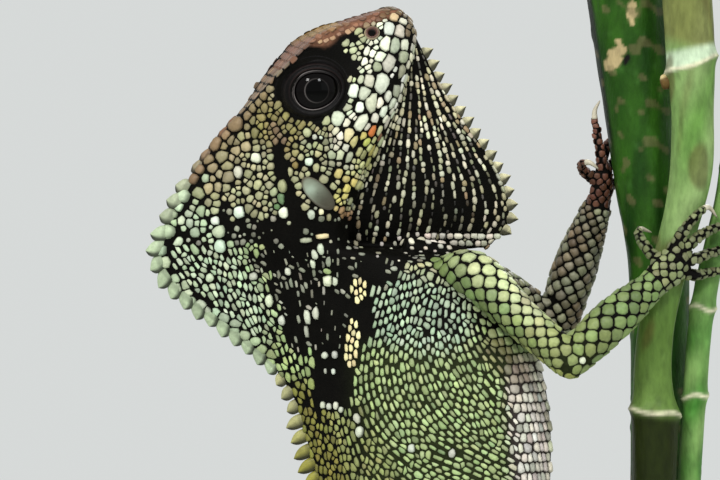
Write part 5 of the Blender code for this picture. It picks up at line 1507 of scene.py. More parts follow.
def skin_object():
    """The whole skin as one closed mesh: all forms joined by a fine voxel remesh."""
    forms = [
        ring_loft(BODY, *BODY_GRID, grow=-SKIN_DEPTH, mouth=True),
        ring_loft(POUCH, *POUCH_GRID, grow=-THIN_SKIN_DEPTH, roll=1.0),
    ]
    forms += [ball(eye_frame(side)[0], LID_RADIUS - LID_SKIN_DEPTH) for side in SIDES]
    for _, _, line, radii in limb_parts():
        forms.append(tube(line, radii - SKIN_DEPTH, LIMB_SIDES))
        forms += [ball(line[end], radii[end] - SKIN_DEPTH) for end in (0, -1)]
    for _, line, radii, normal in palm_parts():
        forms.append(tube(line, radii - THIN_SKIN_DEPTH, PALM_SIDES, PALM_FLATNESS, normal))
        forms.append(ball(line[-1], (radii[-1] - THIN_SKIN_DEPTH) * PALM_END_SHARE))
    forms.append(tube(line_through(POUCH_FOLD, 20), np.linspace(*FOLD_RADII, 20), FOLD_SIDES))
    for _, line in digit_lines():
        end = round(len(line) * (DIGIT_CLAW_START + CLAW_OVERLAP))
        sizes = np.interp(np.arange(end), [0, end * 0.8, end - 1], DIGIT_SKIN_RADII)
        forms.append(tube(line[:end], sizes, DIGIT_SIDES))
    obj = linked("skin", new_mesh("skin", *joined(forms)))
    remesh = obj.modifiers.new("join", "REMESH")
    remesh.mode = "VOXEL"
    remesh.voxel_size = SKIN_VOXEL * MM
    smooth = obj.modifiers.new("smooth", "SMOOTH")
    smooth.factor = SMOOTHING
    smooth.iterations = SMOOTHING_STEPS
    bpy.context.view_layer.update()
    graph = bpy.context.evaluated_depsgraph_get()
    mesh = bpy.data.meshes.new_from_object(obj.evaluated_get(graph))
    obj.modifiers.clear()
    obj.data = mesh
    keep_largest(obj)
    return obj


def keep_largest(obj):
    """Keeps the surface with the most faces."""
    work = bmesh.new()
    work.from_mesh(obj.data)
    unseen = set(work.faces)
    shells = []
    while unseen:
        start = unseen.pop()
        shell, front = [start], [start]
        while front:
            for edge in front.pop().edges:
                for other in edge.link_faces:
                    if other in unseen:
                        unseen.discard(other)
                        shell.append(other)
                        front.append(other)
        shells.append(shell)
    shells.sort(key=len)
    bmesh.ops.delete(work, geom=[f for shell in shells[:-1] for f in shell], context="FACES")
    work.to_mesh(obj.data)
    work.free()


def mesh_places(mesh):
    places = np.empty(len(mesh.vertices) * 3, np.float32)
    mesh.vertices.foreach_get("co", places)
    return places.reshape(-1, 3).astype(float) / MM + (STAND_CENTRE_X, 0.0, -FRAME_HEIGHT)


def eye_frame(side):
    """The eye's centre, its outward axis, and the directions towards tail and crown beside it."""
    base = np.array([EYE_CENTRE[0], side * EYE_CENTRE[1], EYE_CENTRE[2]])
    tilt = EYE_OPENING_TILT
    steps = [base, base + (0, side, 0), base + (math.cos(tilt), 0, math.sin(tilt)),
             base + (-math.sin(tilt), 0, math.cos(tilt))]
    centre, out, first, second = rolled(steps, 1.0)
    return centre, unit(out - centre), unit(first - centre), unit(second - centre)


def orbit_share(places, side):
    """How far each place lies from the middle of the bare orbit: 1 at its edge."""
    centre, out, first, second = eye_frame(side)
    offset = places - centre
    share = np.hypot((offset @ first - ORBIT_MIDDLE[0]) / ORBIT_HALVES[0],
                     (offset @ second - ORBIT_MIDDLE[1]) / ORBIT_HALVES[1])
    return np.where(offset @ out > 0, share, FAR_SHARE)


def shape_head(places):
    """Sinks the skin behind the eyes' openings."""
    for side in SIDES:
        centre, out, first, second = eye_frame(side)
        offset = places - centre
        u, v, w = offset @ first, offset @ second, offset @ out
        inside = 1 - smooth_step(0.85, 1.1, np.hypot(u / EYE_OPENING[0], v / EYE_OPENING[1]))
        inside = inside * (w > 0)
        distance = np.linalg.norm(offset, axis=1)
        target = np.minimum(distance, EYE_RADIUS - EYE_SINK)
        places = places + offset * (inside * (target / distance - 1))[:, None]
    return places


def skin_tint(places):
    """Dark skin between the scales, brown on the forehead and grey under the belly."""
    colours = DARK_SKIN
    x, z = places[:, 0], places[:, 2]
    for area in (CROWN_REAR, CROWN_FRONT, BROW):
        colours = lerp(colours, area[6] * 0.8, area_weight(x, z, area))
    belly = area_weight(x, z, BELLY)
    colours = lerp(colours, srgb(52, 46, 44), belly)
    green = smooth_step(-14.0, -20.0, z) * smooth_step(-4.0, 4.0, x) * (1 - belly)
    colours = lerp(colours, srgb(40, 46, 24), 0.8 * green)
    for side in SIDES:
        bare = 1 - smooth_step(0.94, 1.04, orbit_share(places, side))
        colours = lerp(colours, DARK_SKIN, bare)
    return colours * (1 + 0.15 * waves(places, 3.0, 9))[:, None]


# Eyes, ears and nostrils

# The bare orbit beside the eye's centre: its middle (towards tail, towards crown) and its halves.
ORBIT_MIDDLE = (-0.3, 1.2)
ORBIT_HALVES = (6.1, 6.2)
# How deep the skin lies under the eyeball's surface, and a share past any orbit's edge.
EYE_SINK = 0.7
FAR_SHARE = 9.0
# The lids' inner and outer edges in the same directions, and how many points go round.
LID_INNER_HALVES = (3.40, 3.00)
LID_OUTER_HALVES = (6.0, 5.3)
LID_OUTER_MIDDLE = (-0.4, 0.3)
LID_POINTS = 120
LID_ROWS = 46
LID_FOLD = 0.09
# Places (x, z) on the side view, half-lengths and half-widths, and a bare margin round them.
EAR_PLACE = (-6.7, 7.5)
EAR_HALVES = (3.4, 1.6)
EAR_MARGIN = 0.4
NOSTRIL_PLACE = (1.9, 33.0)
NOSTRIL_HALVES = (1.25, 1.1)
NOSTRIL_BARE_HALVES = (1.6, 1.4)


def flipped(faces):
    """The same faces seen from their other side."""
    return faces[:, [1, 0, 3, 2]]


def both_sides(name, verts, faces, material, tint, **options):
    add_piece(f"{name}_right", verts, flipped(faces), material, tint, **options)
    add_piece(f"{name}_left", mirrored(verts), faces, material, tint, **options)


def lid_piece():
    """Eyelids: a folded ring of smooth dark skin between the eyeball and the orbit, with painted highlights
    on its rim and on the crests of its folds.
    """
    centre, out, first, second = eye_frame(-1)
    turns = turns_round(LID_POINTS)
    ring = np.stack([np.cos(turns), np.sin(turns)], axis=1)
    uneven = 1 + 0.05 * np.cos(2 * turns - 5.6) + 0.03 * np.cos(3 * turns + 0.6)
    inner = LID_INNER_HALVES * ring * uneven[:, None]
    outer = LID_OUTER_HALVES * ring + LID_OUTER_MIDDLE
    upper = 0.5 + 0.5 * np.sin(turns + 0.3)
    lower_left = 0.5 + 0.5 * np.cos(turns - 4.0)
    upper_left = 0.5 + 0.5 * np.cos(turns - 2.0)
    shares = np.linspace(0, 1, LID_ROWS)
    rows, tints = [], []
    for q in shares:
        flat = inner + (outer - inner) * q
        radius = np.hypot(flat[:, 0], flat[:, 1])
        shell = EYE_RADIUS + 0.18 + 0.75 * smooth_step(0.0, 0.5, q)
        height = np.sqrt(np.maximum(shell**2 - radius**2, 0.2))
        points = centre + flat[:, :1] * first + flat[:, 1:] * second
        skin = np.empty(len(points))
        for i, point in enumerate(points):
            hit = SKIN_TREE.ray_cast(Vector(point + out * 14), Vector(-out))[0]
            skin[i] = (np.array(hit) - centre) @ out if hit is not None else height[i]
        blend = smooth_step(0.45, 0.95, q)
        folds = LID_FOLD * np.sin(q * 26.0 + 0.8 * np.sin(turns)) * smooth_step(0.06, 0.2, q) * (1 - q)
        folds = folds * (0.12 + 1.0 * upper)
        margin = 0.09 * math.exp(-((q - 0.03) / 0.03) ** 2)
        level = height * (1 - blend) + (skin + 0.12 * (1 - q)) * blend + folds + margin
        if q == 0:
            level = np.sqrt(EYE_RADIUS**2 - radius**2) - 0.25
        rows.append(points + level[:, None] * out)
        # Painted highlights: a pale line along the rim of the opening, strongest at lower left, and a pale
        # arc above it at upper left; the crests of the folds are painted lighter, towards reddish brown.
        pale = math.exp(-((q - 0.04) / 0.020) ** 2) * (0.05 + 0.8 * lower_left**3)
        pale = pale + math.exp(-((q - 0.12) / 0.018) ** 2) * 0.5 * upper_left**5
        ridge = np.clip(folds / LID_FOLD, 0, 1) ** 2 * 0.5
        colour = lerp(srgb(9, 7, 7), srgb(74, 54, 52), ridge)
        tints.append(lerp(colour, srgb(176, 166, 164), np.clip(pale, 0, 1)))
    return np.concatenate(rows), grid_faces(len(shares), len(turns)), np.concatenate(tints)


def eye_pieces():
    """Glossy eyeballs, black in the middle, with a thin pale ring round the pupil that is painted brighter
    towards one side as a painted reflection.
    """
    for side, name in zip(SIDES, ("right", "left")):
        centre, out, first, second = eye_frame(side)
        angles = np.concatenate([np.linspace(0.01, 0.9, 60), np.linspace(0.95, math.pi - 0.02, 30)])
        line = centre + np.cos(angles)[:, None] * EYE_RADIUS * out
        verts, faces = tube(line, EYE_RADIUS * np.sin(angles), 72, start=(1.0, 0.0, 0.0))
        angle = np.arccos(np.clip((unit(verts - centre)) @ out, -1, 1))
        ring = np.exp(-(((angle - 0.42) / 0.018) ** 2))
        iris = smooth_step(0.40, 0.46, angle) * (1 - smooth_step(0.72, 0.8, angle))
        tint = lerp(srgb(2, 2, 2), srgb(9, 7, 7), iris)
        # Painted reflection: the pale ring is faint all round and much brighter towards one side.
        turn = np.arctan2((verts - centre) @ second, (verts - centre) @ first)
        tint = lerp(tint, srgb(104, 98, 96), ring * (0.10 + 0.55 * (0.5 + 0.5 * np.cos(turn - 2.9)) ** 2))
        add_piece(f"eyeball_{name}", verts, faces, LOOKS["wet_eye"], tint,
                  replaces=[f"eye_{name}"], slot="eye")


def dish_patch(place, halves, tilt, profile, colour, slope, rows=16, count=48):
    """A round patch over the right side of the head, raised or sunk by `profile` of its radius.

    It darkens along its length by `slope`.
    """
    turns = turns_round(count)
    points, tints = [], []
    out = unit(SKIN_TREE.find_nearest(Vector(side_place(*place, -1.0)))[1])
    for q in np.linspace(0.02, 1, rows):
        u, v = halves[0] * q * np.cos(turns), halves[1] * q * np.sin(turns)
        x = place[0] + u * math.cos(tilt) - v * math.sin(tilt)
        z = place[1] + u * math.sin(tilt) + v * math.cos(tilt)
        points += [side_place(a, b, -1.0) + out * profile(q) for a, b in zip(x, z)]
        tints.append(colour(q) * (1 - slope * q * np.cos(turns))[:, None])
    return np.array(points), grid_faces(rows, count), np.concatenate(tints)


def ear_profile(q):
    return 0.34 - 0.22 * (1 - q**2) + 0.10 * math.exp(-(((q - 0.9) / 0.08) ** 2))


def ear_colour(q):
    return lerp(srgb(108, 114, 98), srgb(66, 60, 46), smooth_step(0.80, 0.97, q))


def ear_shading(tint, verts):
    """The ear drum: a pale painted highlight at its upper left, brown towards its lower right."""
    x, z = verts[:, 0] - EAR_PLACE[0], verts[:, 2] - EAR_PLACE[1]
    tint = lerp(tint, srgb(64, 58, 42), 0.8 * smooth_step(-1.2, 3.4, x - z))
    # Painted highlight: a pale spot at the ear drum's upper left.
    return lerp(tint, srgb(160, 176, 158), 0.8 * np.exp(-((x + 1.2) ** 2 + (z - 0.6) ** 2) / 0.8))


def nostril_profile(q):
    return 0.42 * math.exp(-(((q - 0.72) / 0.2) ** 2)) - 0.5 * max(0.0, 0.5 - q)


def nostril_colour(q):
    # Painted shade: the near-black middle stands for the shade inside the nostril's opening, over a shallow
    # dip.
    return srgb(26, 13, 11) if q < 0.52 else srgb(92, 62, 52) if q < 0.82 else srgb(150, 134, 108)


# Spines and claws

# A claw's radii at its root and at its tip, and how many sides it has.
CLAW_ROOT = 0.44
CLAW_TIP = 0.07
CLAW_SIDES = 12


def leaf(root, out, along, height, root_length, thickness, lean, colour, dark, blunt, count=14, rows=9):
    """A pointed scale: an oval section that narrows to a tip, a little curved towards the tail, with painted
    shade on its lower side and at its root.
    """
    levels = np.linspace(0, 1, rows)
    turns = turns_round(count)
    side = np.array([0.0, 1.0, 0.0])
    verts, tints = [], []
    for level in levels:
        rise = -SPINE_SINK * 0.8 + (height + SPINE_SINK * 0.8) * level
        over = max(rise, 0.0) / height
        long = root_length / 2 * max(1 - over**blunt, 0.02)
        thick = thickness / 2 * max(1 - over**1.6, 0.03)
        centre = root + out * rise + along * (lean * rise + 0.12 * height * over**2)
        ring = centre + long * np.cos(turns)[:, None] * along + thick * np.sin(turns)[:, None] * side
        verts.append(ring)
        # Painted shade: the side of each spine towards the tail, its lower side, goes to near black, and the
        # colour darkens near the root where the spine meets the skin.
        shade = smooth_step(0.80 - 1.10 * dark, 1.0 - 1.0 * dark, np.cos(turns)) * (0.85 + 0.15 * over)
        tints.append(lerp(colour * (0.6 + 0.4 * smooth_step(-0.05, 0.25, over)), srgb(12, 11, 8), shade))
    verts, faces = tube_faces(np.concatenate(verts), rows, count)
    return verts, faces, np.vstack([*tints, tints[0][:1], tints[-1][:1]])


def crest_leaves(table, edge, spec, colour, dark, shape=(1.3, 1.1, 1.0), weight=None):
    """The scales of one crest, at the solids' places; `shape` is bluntness, length, thickness."""
    blunt, longer, thicker = shape
    first, last, spacing, first_height, last_height, root_length, thickness, lean = spec
    margin = root_length / 2 + CREST_END_MARGIN
    s = np.linspace(first, last, 400)
    run = run_along(rows_at(table, s)[:, edge : edge + 2])
    free = run[-1] - 2 * margin
    count = max(2, round(free / spacing) + 1)
    places = np.interp(margin + np.linspace(0, free, count), run, s)
    leaves = []
    for i, place in enumerate(places):
        before, row, after = (rows_at(table, place + d)[0] for d in (-0.1, 0.0, 0.1))
        along = unit(after[edge : edge + 2] - before[edge : edge + 2])
        out = np.array([along[1], -along[0]]) * (1 if edge == 0 else -1)
        height = first_height + (last_height - first_height) * i / (len(places) - 1)
        size = 1.0 + 0.1 * math.sin(2.4 * i) + RANDOM.uniform(-0.06, 0.06)
        side = 0.06 * (-1) ** i
        tone = colour(row[edge], row[edge + 1]) * RANDOM.uniform(0.82, 1.14)
        verts, faces, tint = leaf(
            np.array([row[edge], row[4] + side, row[edge + 1]]),
            np.array([out[0], 0.0, out[1]]), np.array([along[0], 0.0, along[1]]),
            height * size, root_length * longer, thickness * thicker, lean, tone, dark, blunt)
        share = float(roll_weight(place)) if weight is None else weight
        leaves.append((rolled(verts, share), faces if edge else flipped(faces), tint))
    return leaves


def claw_pieces():
    """The claws of each hand and foot, from horn-coloured roots to darker tips."""
    parts = {}
    for name, line in digit_lines():
        claw = line[round(len(line) * DIGIT_CLAW_START) :]
        share = np.linspace(0, 1, len(claw))
        verts, faces = tube(claw, CLAW_ROOT * (1 - share) ** 0.7 + CLAW_TIP, CLAW_SIDES)
        shade = np.append(np.repeat(share, CLAW_SIDES), [0.0, 1.0])
        tint = lerp(HORN, srgb(90, 74, 58), 0.5 * shade)
        parts.setdefault(name, []).append((verts, faces, tint))
    for name, pieces in parts.items():
        add_parts(f"claws_{name}", pieces, LOOKS["horn"], "skin_brown")


# Stems

# A small bud beside the cane's upper joint, on the side view.
BUD_PLACE = (48.3, 25.5)


def stem_piece(name, line, rings, spacing, count, colour, bumps, replaces, slot, widening=0.0):
    """A stem with raised joints at `rings` (height, tilt) and small raised pores."""
    z = np.linspace(line[-1][2], line[0][2], round((line[0][2] - line[-1][2]) / spacing))
    x, y, radius = stem_at(line, z).T
    turns = turns_round(count)
    turn_grid, z_grid = np.meshgrid(turns, z)
    radius_grid = np.repeat(radius[:, None], count, axis=1)
    rise, joint, pores = (np.zeros_like(z_grid) for _ in range(3))
    for height, tilt in rings:
        middle = height + tilt * radius_grid * np.cos(turn_grid) + 0.25 * np.sin(3 * turn_grid + height)
        rise += RING_SWELL * np.exp(-(((z_grid - middle) / 1.3) ** 2)) * radius_grid / 3.8
        line_share = np.exp(-(((z_grid - middle) / 0.32) ** 2))
        rise += 0.26 * line_share
        joint = np.maximum(joint, line_share)
    draws = np.random.default_rng(len(name) * 11)
    for _ in range(bumps):
        at_z, at_turn = draws.uniform(z[0], z[-1]), draws.uniform(0, 2 * math.pi)
        tall, wide = draws.uniform(0.35, 0.8), draws.uniform(0.3, 0.55)
        turn = (turn_grid - at_turn + math.pi) % (2 * math.pi) - math.pi
        pores += draws.uniform(0.5, 1.0) * np.exp(
            -(((z_grid - at_z) / tall) ** 2) - (turn * radius_grid / wide) ** 2)

    def places_at(distance):
        return np.stack([x[:, None] + distance * np.cos(turn_grid), y[:, None] + distance * np.sin(turn_grid),
                         z_grid], -1).reshape(-1, 3)

    ripple = 0.05 * waves(places_at(radius_grid) * (1, 1, 0.25), 2.5, 4).reshape(z_grid.shape)
    full = radius_grid + rise + 0.16 * np.clip(pores, 0, 1) + ripple - 0.08
    full += widening * smooth_step(17.0, 25.0, z_grid) * np.clip(np.cos(turn_grid), 0, 1) ** 2
    places = places_at(full)
    tint = colour(places)
    tint = lerp(tint, tint * 1.7 + 0.012, np.clip(pores, 0, 1).ravel() * 0.6)
    tint = lerp(tint, srgb(222, 216, 186), joint.ravel() * 0.9)
    verts, faces = tube_faces(places, len(z), count)
    tint = np.vstack([tint, srgb(150, 150, 96), srgb(150, 150, 96)])
    add_piece(name, verts, faces, LOOKS["bark"], tint, replaces=replaces, slot=slot)


def cane_colour(places):
    x, z = places[:, 0], places[:, 2]
    colours = lerp(srgb(98, 136, 66), srgb(138, 164, 104), 0.5 + 0.5 * waves(places * (1, 1, 0.25), 6.0, 21))
    old = smooth_step(29.5, 32.5, z + 0.3 * (x - 52.0))
    colours = lerp(colours, srgb(112, 108, 58), 0.75 * old * (1 - smooth_step(44.0, 52.0, z)))
    flake = smooth_step(27.6, 28.4, z - 0.35 * (x - 53.0))
    flake = flake * (1 - smooth_step(30.0, 31.4, z - 0.2 * (x - 53.0)))
    colours = lerp(colours, srgb(190, 208, 182), 0.8 * flake)
    colours = lerp(colours, srgb(84, 112, 44), 0.85 * (1 - smooth_step(-16.0, 4.0, z)))
    low = 1 - smooth_step(-29.0, -27.0, z + 0.12 * (x - 47.0))
    brown = smooth_step(0.25, 0.8, waves(places * (1, 1, 0.4), 5.0, 22))
    colours = lerp(colours, srgb(84, 72, 38), 0.6 * brown)
    return lerp(colours, srgb(28, 36, 4), low * 0.98)


def stem_colour(places):
    x, z = places[:, 0], places[:, 2]
    colours = lerp(srgb(24, 58, 10), srgb(46, 88, 20), 0.5 + 0.5 * waves(places * (1, 1, 0.5), 4.0, 23))
    table = stem_at(STEM_LINE, z)
    # Painted shade: the stem's left edge is darkened to near black from z 12 to 18 upwards.
    edge = 1 - smooth_step(-0.92, -0.80, (x - table[:, 0]) / table[:, 2])
    colours = lerp(colours, srgb(8, 10, 8), 0.9 * edge * smooth_step(12.0, 18.0, z))
    rough = 0.5 + 0.5 * waves(places, 1.4, 26)
    patch = np.exp(-((x - 40.9 - 0.35 * (z - 29.5)) / 1.7) ** 2 - ((z - 29.5) / 3.2) ** 2) + np.exp(
        -((x - 43.6) / 0.9) ** 2 - ((z - 36.5) / 2.6) ** 2)
    patch = smooth_step(0.42, 0.62, patch * (0.6 + 0.7 * rough))
    near = places[:, 1] < table[:, 1]
    colours = lerp(colours, srgb(176, 158, 116), patch * near)
    # Painted shade: a near-black spot on the near side stands for the shade inside a hole; the surface has no
    # dent there.
    hole = np.exp(-((x - 42.7 - 0.3 * (z - 28.9)) / 0.6) ** 2 - ((z - 28.9) / 1.0) ** 2)
    colours = lerp(colours, srgb(10, 9, 8), smooth_step(0.3, 0.6, hole) * near)
    spots = smooth_step(0.62, 0.9, waves(places, 3.2, 24))
    return lerp(colours, srgb(104, 96, 66), 0.5 * spots)


def shoot_colour(places):
    return lerp(srgb(74, 122, 52), srgb(116, 152, 84), 0.5 + 0.5 * waves(places * (1, 1, 0.5), 4.0, 25))


def bud_piece():
    """A small brown bud with a pale scale over it, beside the cane's upper joint."""
    x, y, radius = stem_at(CANE_LINE, BUD_PLACE[1])[0]
    turn = -math.acos(np.clip((BUD_PLACE[0] - x) / (radius + 0.2), -1, 1))
    out = np.array([math.cos(turn), math.sin(turn), 0.0])
    root = np.array([x, y, BUD_PLACE[1]]) + out * (radius - 0.9)
    line = root + np.linspace(0, 1, 22)[:, None] * (out * 2.1 + (0.0, 0.0, -0.4))
    share = np.linspace(0, 1, 22)
    sizes = 1.25 * np.sqrt(np.maximum(1 - (2 * share - 1) ** 4, 0.004))
    verts, faces = tube(line, sizes, 28)
    height = verts[:, 2] - BUD_PLACE[1]
    tint = lerp(srgb(96, 74, 38), srgb(206, 186, 138),
                smooth_step(0.10, 0.55, height - 0.5 * (verts[:, 0] - BUD_PLACE[0])))
    add_piece("cane_bud", verts, faces, LOOKS["bark"], tint, slot="cane")


# Putting it together

# Name, roughness, noise in features for each metre, its contrast, bumps, specular and stretch.
LOOKS = {name: tinted_material(name, *values) for name, *values in (
    ("coat", 0.42, 1500.0, 0.14, 0.6, 0.30),
    ("skin", 0.60, 1800.0, 0.25, 0.8, 0.05),
    ("lid", 0.42, 2200.0, 0.15, 0.5, 0.10),
    ("ear", 0.30, 900.0, 0.10, 0.3, 0.45),
    ("wet_eye", 0.04, 300.0, 0.05, 0.0, 0.08),
    ("horn", 0.32, 1200.0, 0.1, 0.3, 0.45),
    ("bark", 0.45, 900.0, 0.22, 1.0, 0.14, (1, 1, 0.4)),
)}

skin = skin_object()
skin_places = shape_head(mesh_places(skin.data))
skin.data.vertices.foreach_set("co", to_world(skin_places).astype(np.float32).ravel())
skin.data.update()
skin.data.polygons.foreach_set("use_smooth", np.ones(len(skin.data.polygons), bool))
SKIN_TREE = BVHTree.FromPolygons(skin_places.tolist(), [tuple(p.vertices) for p in skin.data.polygons])
set_tint(skin.data, skin_tint(skin_places))
dress(skin, LOOKS["skin"], FLESH_NODES)

verts, faces, tint = lid_piece()
both_sides("eyelids", verts, faces, LOOKS["lid"], tint, slot="skin_dark")
eye_pieces()
# On the ear the slope paints its upper left end lighter, as painted light, and its lower right end darker.
verts, faces, tint = dish_patch(EAR_PLACE, EAR_HALVES, EAR_TILT, ear_profile, ear_colour, 0.75)
both_sides("ear", verts, faces, LOOKS["ear"], ear_shading(tint, verts), slot="skin_dark")
verts, faces, tint = dish_patch(
    NOSTRIL_PLACE, NOSTRIL_HALVES, NOSTRIL_TILT, nostril_profile, nostril_colour, 0.0)
both_sides("nostril", verts, faces, LOOKS["ear"], tint, slot="skin_dark")

# The coat

# The long ways of the face's plates, and of single scales elsewhere.
LABIAL_LIE = (-0.35, 0.0, -0.94)
DOWN = (0.1, 0.0, -1.0)
GREY_PLATE = srgb(168, 172, 142)
OLD_PLATE = srgb(196, 190, 128)
# Large plates of the face: (x, z, length, width), some with a colour of their own.
FACE_PLATES = (
    (5.5, 35.6, 1.4, 1.3, srgb(178, 158, 120)), (6.9, 34.9, 1.0, 1.2), (4.6, 33.7, 1.9, 1.7),
    (6.4, 33.3, 1.8, 1.6), (4.1, 31.3, 2.3, 1.6), (5.5, 31.0, 2.4, 1.5), (7.1, 31.0, 1.8, 1.1),
    (7.0, 29.2, 2.0, 1.3, GREY_PLATE), (3.2, 29.1, 1.7, 1.5), (4.5, 28.1, 2.8, 1.8),
    (2.8, 27.6, 1.4, 1.2, GREY_PLATE), (6.7, 26.9, 2.1, 1.1, GREY_PLATE), (1.4, 25.3, 2.0, 1.5),
    (3.4, 24.9, 3.0, 1.8), (-1.0, 23.7, 2.2, 1.2), (0.7, 23.3, 2.4, 1.5), (1.8, 22.0, 3.1, 1.7),
    (5.8, 23.6, 1.8, 1.4), (4.5, 22.9, 2.0, 1.0), (5.2, 21.9, 1.9, 1.1), (3.7, 20.4, 2.2, 1.0),
    (0.2, 18.7, 3.1, 1.6), (-1.9, 18.0, 2.1, 1.4), (-3.6, 19.2, 2.0, 1.6), (-2.6, 20.0, 1.3, 1.2),
    (0.0, 21.1, 1.8, 1.1), (4.3, 18.9, 1.9, 0.9), (2.3, 26.2, 1.2, 1.2), (0.8, 28.4, 1.7, 0.8),
    (1.1, 30.0, 1.6, 0.8), (-1.9, 16.6, 3.0, 1.2, srgb(226, 222, 168)), (-1.0, 15.7, 2.3, 0.9, OLD_PLATE),
    (-2.9, 16.0, 1.8, 0.8, OLD_PLATE), (-2.3, 14.7, 1.4, 0.8), (-3.2, 13.6, 1.9, 1.0, GREY_PLATE),
    (-1.7, 13.2, 2.0, 0.8, GREY_PLATE), (2.4, 19.4, 1.3, 1.0), (1.9, 17.3, 1.7, 1.0, ORANGE),
    (3.1, 16.4, 1.1, 0.8, BROWN), (1.1, 17.9, 1.3, 0.8), (0.6, 16.6, 1.4, 0.8, YELLOW),
    (1.1, 15.6, 1.4, 0.9, srgb(176, 182, 96)), (1.8, 14.2, 1.9, 1.0, srgb(158, 152, 84)),
    (1.2, 12.4, 1.9, 1.0, srgb(168, 166, 108)), (-1.0, 9.2, 1.2, 1.1, YELLOW),
    (-2.1, 8.1, 1.4, 1.1, srgb(216, 200, 120)), (-3.4, 10.6, 1.3, 1.0, srgb(198, 190, 118)),
    (-2.4, 7.0, 1.1, 0.9, YELLOW),
)
TUBERCLES = (
    (-16.5, 13.1, 1.9, 1.9), (-19.4, 10.8, 2.3, 1.7), (-19.3, 4.5, 2.1, 2.1), (-22.6, 1.4, 2.2, 2.2),
    (-22.3, -1.0, 2.3, 2.0), (-23.1, 3.0, 1.7, 1.5), (-18.1, 7.9, 1.6, 1.4, PEBBLE),
    (-24.6, 9.8, 1.6, 1.4, MINT), (-14.2, 11.7, 1.5, 1.4, PEBBLE), (-17.0, -5.8, 1.6, 1.5),
    (-14.5, -9.7, 2.2, 1.4), (-12.5, -12.9, 1.9, 1.2), (-8.4, -12.2, 3.4, 1.1), (-8.5, -14.6, 2.4, 0.8),
    (-7.1, -11.6, 2.2, 1.2), (-7.2, -2.3, 2.0, 1.1), (-6.3, -1.6, 2.1, 1.2), (-7.5, -3.7, 1.8, 0.9),
    (-5.1, -6.5, 1.9, 1.7), (-4.0, -6.6, 1.6, 1.0), (-8.6, 0.0, 0.9, 2.4, SPECK * 1.6),
    (-6.0, 0.6, 0.9, 2.6, STREAK), (-11.5, -5.0, 1.4, 1.1), (-0.5, -28.5, 1.9, 1.3),
    (0.0, -30.6, 2.0, 1.4), (8.2, -33.1, 1.8, 1.4), (14.6, -33.9, 1.8, 1.2), (-5.6, -18.4, 1.2, 1.2),
    (-4.0, -18.3, 1.3, 1.1), (-5.9, -26.4, 1.3, 1.0), (-4.9, -26.6, 1.2, 1.0), (-3.8, -26.5, 1.4, 1.0),
    (-3.0, -27.1, 1.1, 1.0), (-5.5, -20.9, 1.0, 0.6), (-4.2, -21.0, 1.1, 0.8), (-12.2, 4.4, 1.9, 1.6),
    (-12.6, 6.6, 2.4, 1.3, srgb(124, 150, 112)), (-12.3, 8.5, 2.3, 1.5, PEBBLE),
    (-13.2, 5.3, 1.4, 1.1, srgb(96, 126, 84)), (-7.8, 4.1, 1.7, 1.3, WHITE),
    (-6.2, 4.5, 1.2, 0.9, srgb(206, 206, 170)), (-5.0, 3.6, 1.3, 0.9, PEBBLE),
    (-9.4, 13.2, 1.3, 1.1, PEBBLE * 1.2), (-8.1, 12.5, 1.5, 1.4), (-6.9, 11.5, 1.5, 1.3, PEBBLE * 1.2),
    (-11.0, 10.9, 1.9, 0.9, srgb(196, 196, 150)), (-10.3, 11.9, 1.3, 1.1, srgb(150, 130, 76)),
    (-8.4, 17.1, 1.6, 1.5, PEBBLE * 1.3), (-7.2, 16.4, 1.0, 0.9), (-6.2, 16.3, 0.7, 0.7),
    (-13.8, 3.4, 1.2, 1.1, SPECK), (-24.0, -6.0, 1.6, 1.4, MINT),
)
STREAK_LINES = (
    ((-1.44, -7.4), (-0.83, -9.8)), ((-0.83, -6.2), (-0.32, -10.4)), ((-0.12, -6.0), (0.30, -10.0)),
    ((0.70, -6.4), (0.80, -8.6)), ((-1.2, -12.5), (-2.2, -17.2), (-2.2, -19.6)),
    ((-0.5, -13.2), (-1.4, -16.2), (-1.6, -19.9)), ((-0.2, -15.0), (-0.75, -18.0), (-0.95, -19.8)),
)
# Pale beads on the dark fold between the pouch and the shoulder.
FOLD_BEADS = (
    (8.2, -0.2, 1.5, 0.9), (8.3, -1.3, 0.8, 0.7), (7.3, -2.1, 0.7, 0.6), (10.9, -0.3, 1.1, 1.0),
    (10.5, -1.3, 0.7, 0.7), (12.9, -1.0, 1.0, 0.9), (14.3, -1.2, 0.9, 0.9), (14.0, -2.1, 0.6, 0.6),
    (5.6, -0.6, 0.9, 0.6), (5.0, -1.4, 0.6, 0.5), (3.5, -0.6, 0.9, 0.6), (9.7, -1.9, 0.6, 0.6),
    (6.3, 0.3, 0.9, 0.7), (12.0, -1.8, 0.6, 0.6), (4.4, 0.9, 0.8, 0.6), (2.8, -2.6, 0.6, 0.5),
    (6.2, -3.3, 0.4, 0.4), (9.2, 0.9, 0.8, 0.7),
)
ELBOW_SPOT = (35.2, -19.1, 1.4, 1.2)
# How far a seed may lie from the skin, where the bare orbit ends, and how much of the unwrap's
# width beside the middle of the back counts as the crown.
SEED_REACH = 0.9
ORBIT_EDGE = 1.02
CROWN_HALF_WIDTH = 0.035
# Steps between the starts of strings, the strings' scales (length and width), their rank,
# and where they may run: least and greatest height, and least section.
STRING_SPACING = 0.40
STRING_SCALE = (1.6, 0.76)
STRING_RANK = 4.0
STRING_REGION = (0.06, 0.86, 14.6)
# Where strings start: height on the side view, first x and last x.
STRING_LEVELS = (
    (-20.0, -16.5, 27.0), (-5.0, -29.0, 12.0), (-36.0, -12.0, 27.0), (-12.0, -24.0, 27.0),
    (-28.0, -14.0, 27.0), (-44.0, -11.0, 27.0), (-1.5, -29.0, 10.0), (-9.0, -26.0, 24.0),
    (-32.0, -13.0, 27.0), (-40.0, -11.0, 27.0), (-24.0, -15.0, 27.0), (-16.0, -20.0, 27.0),
)
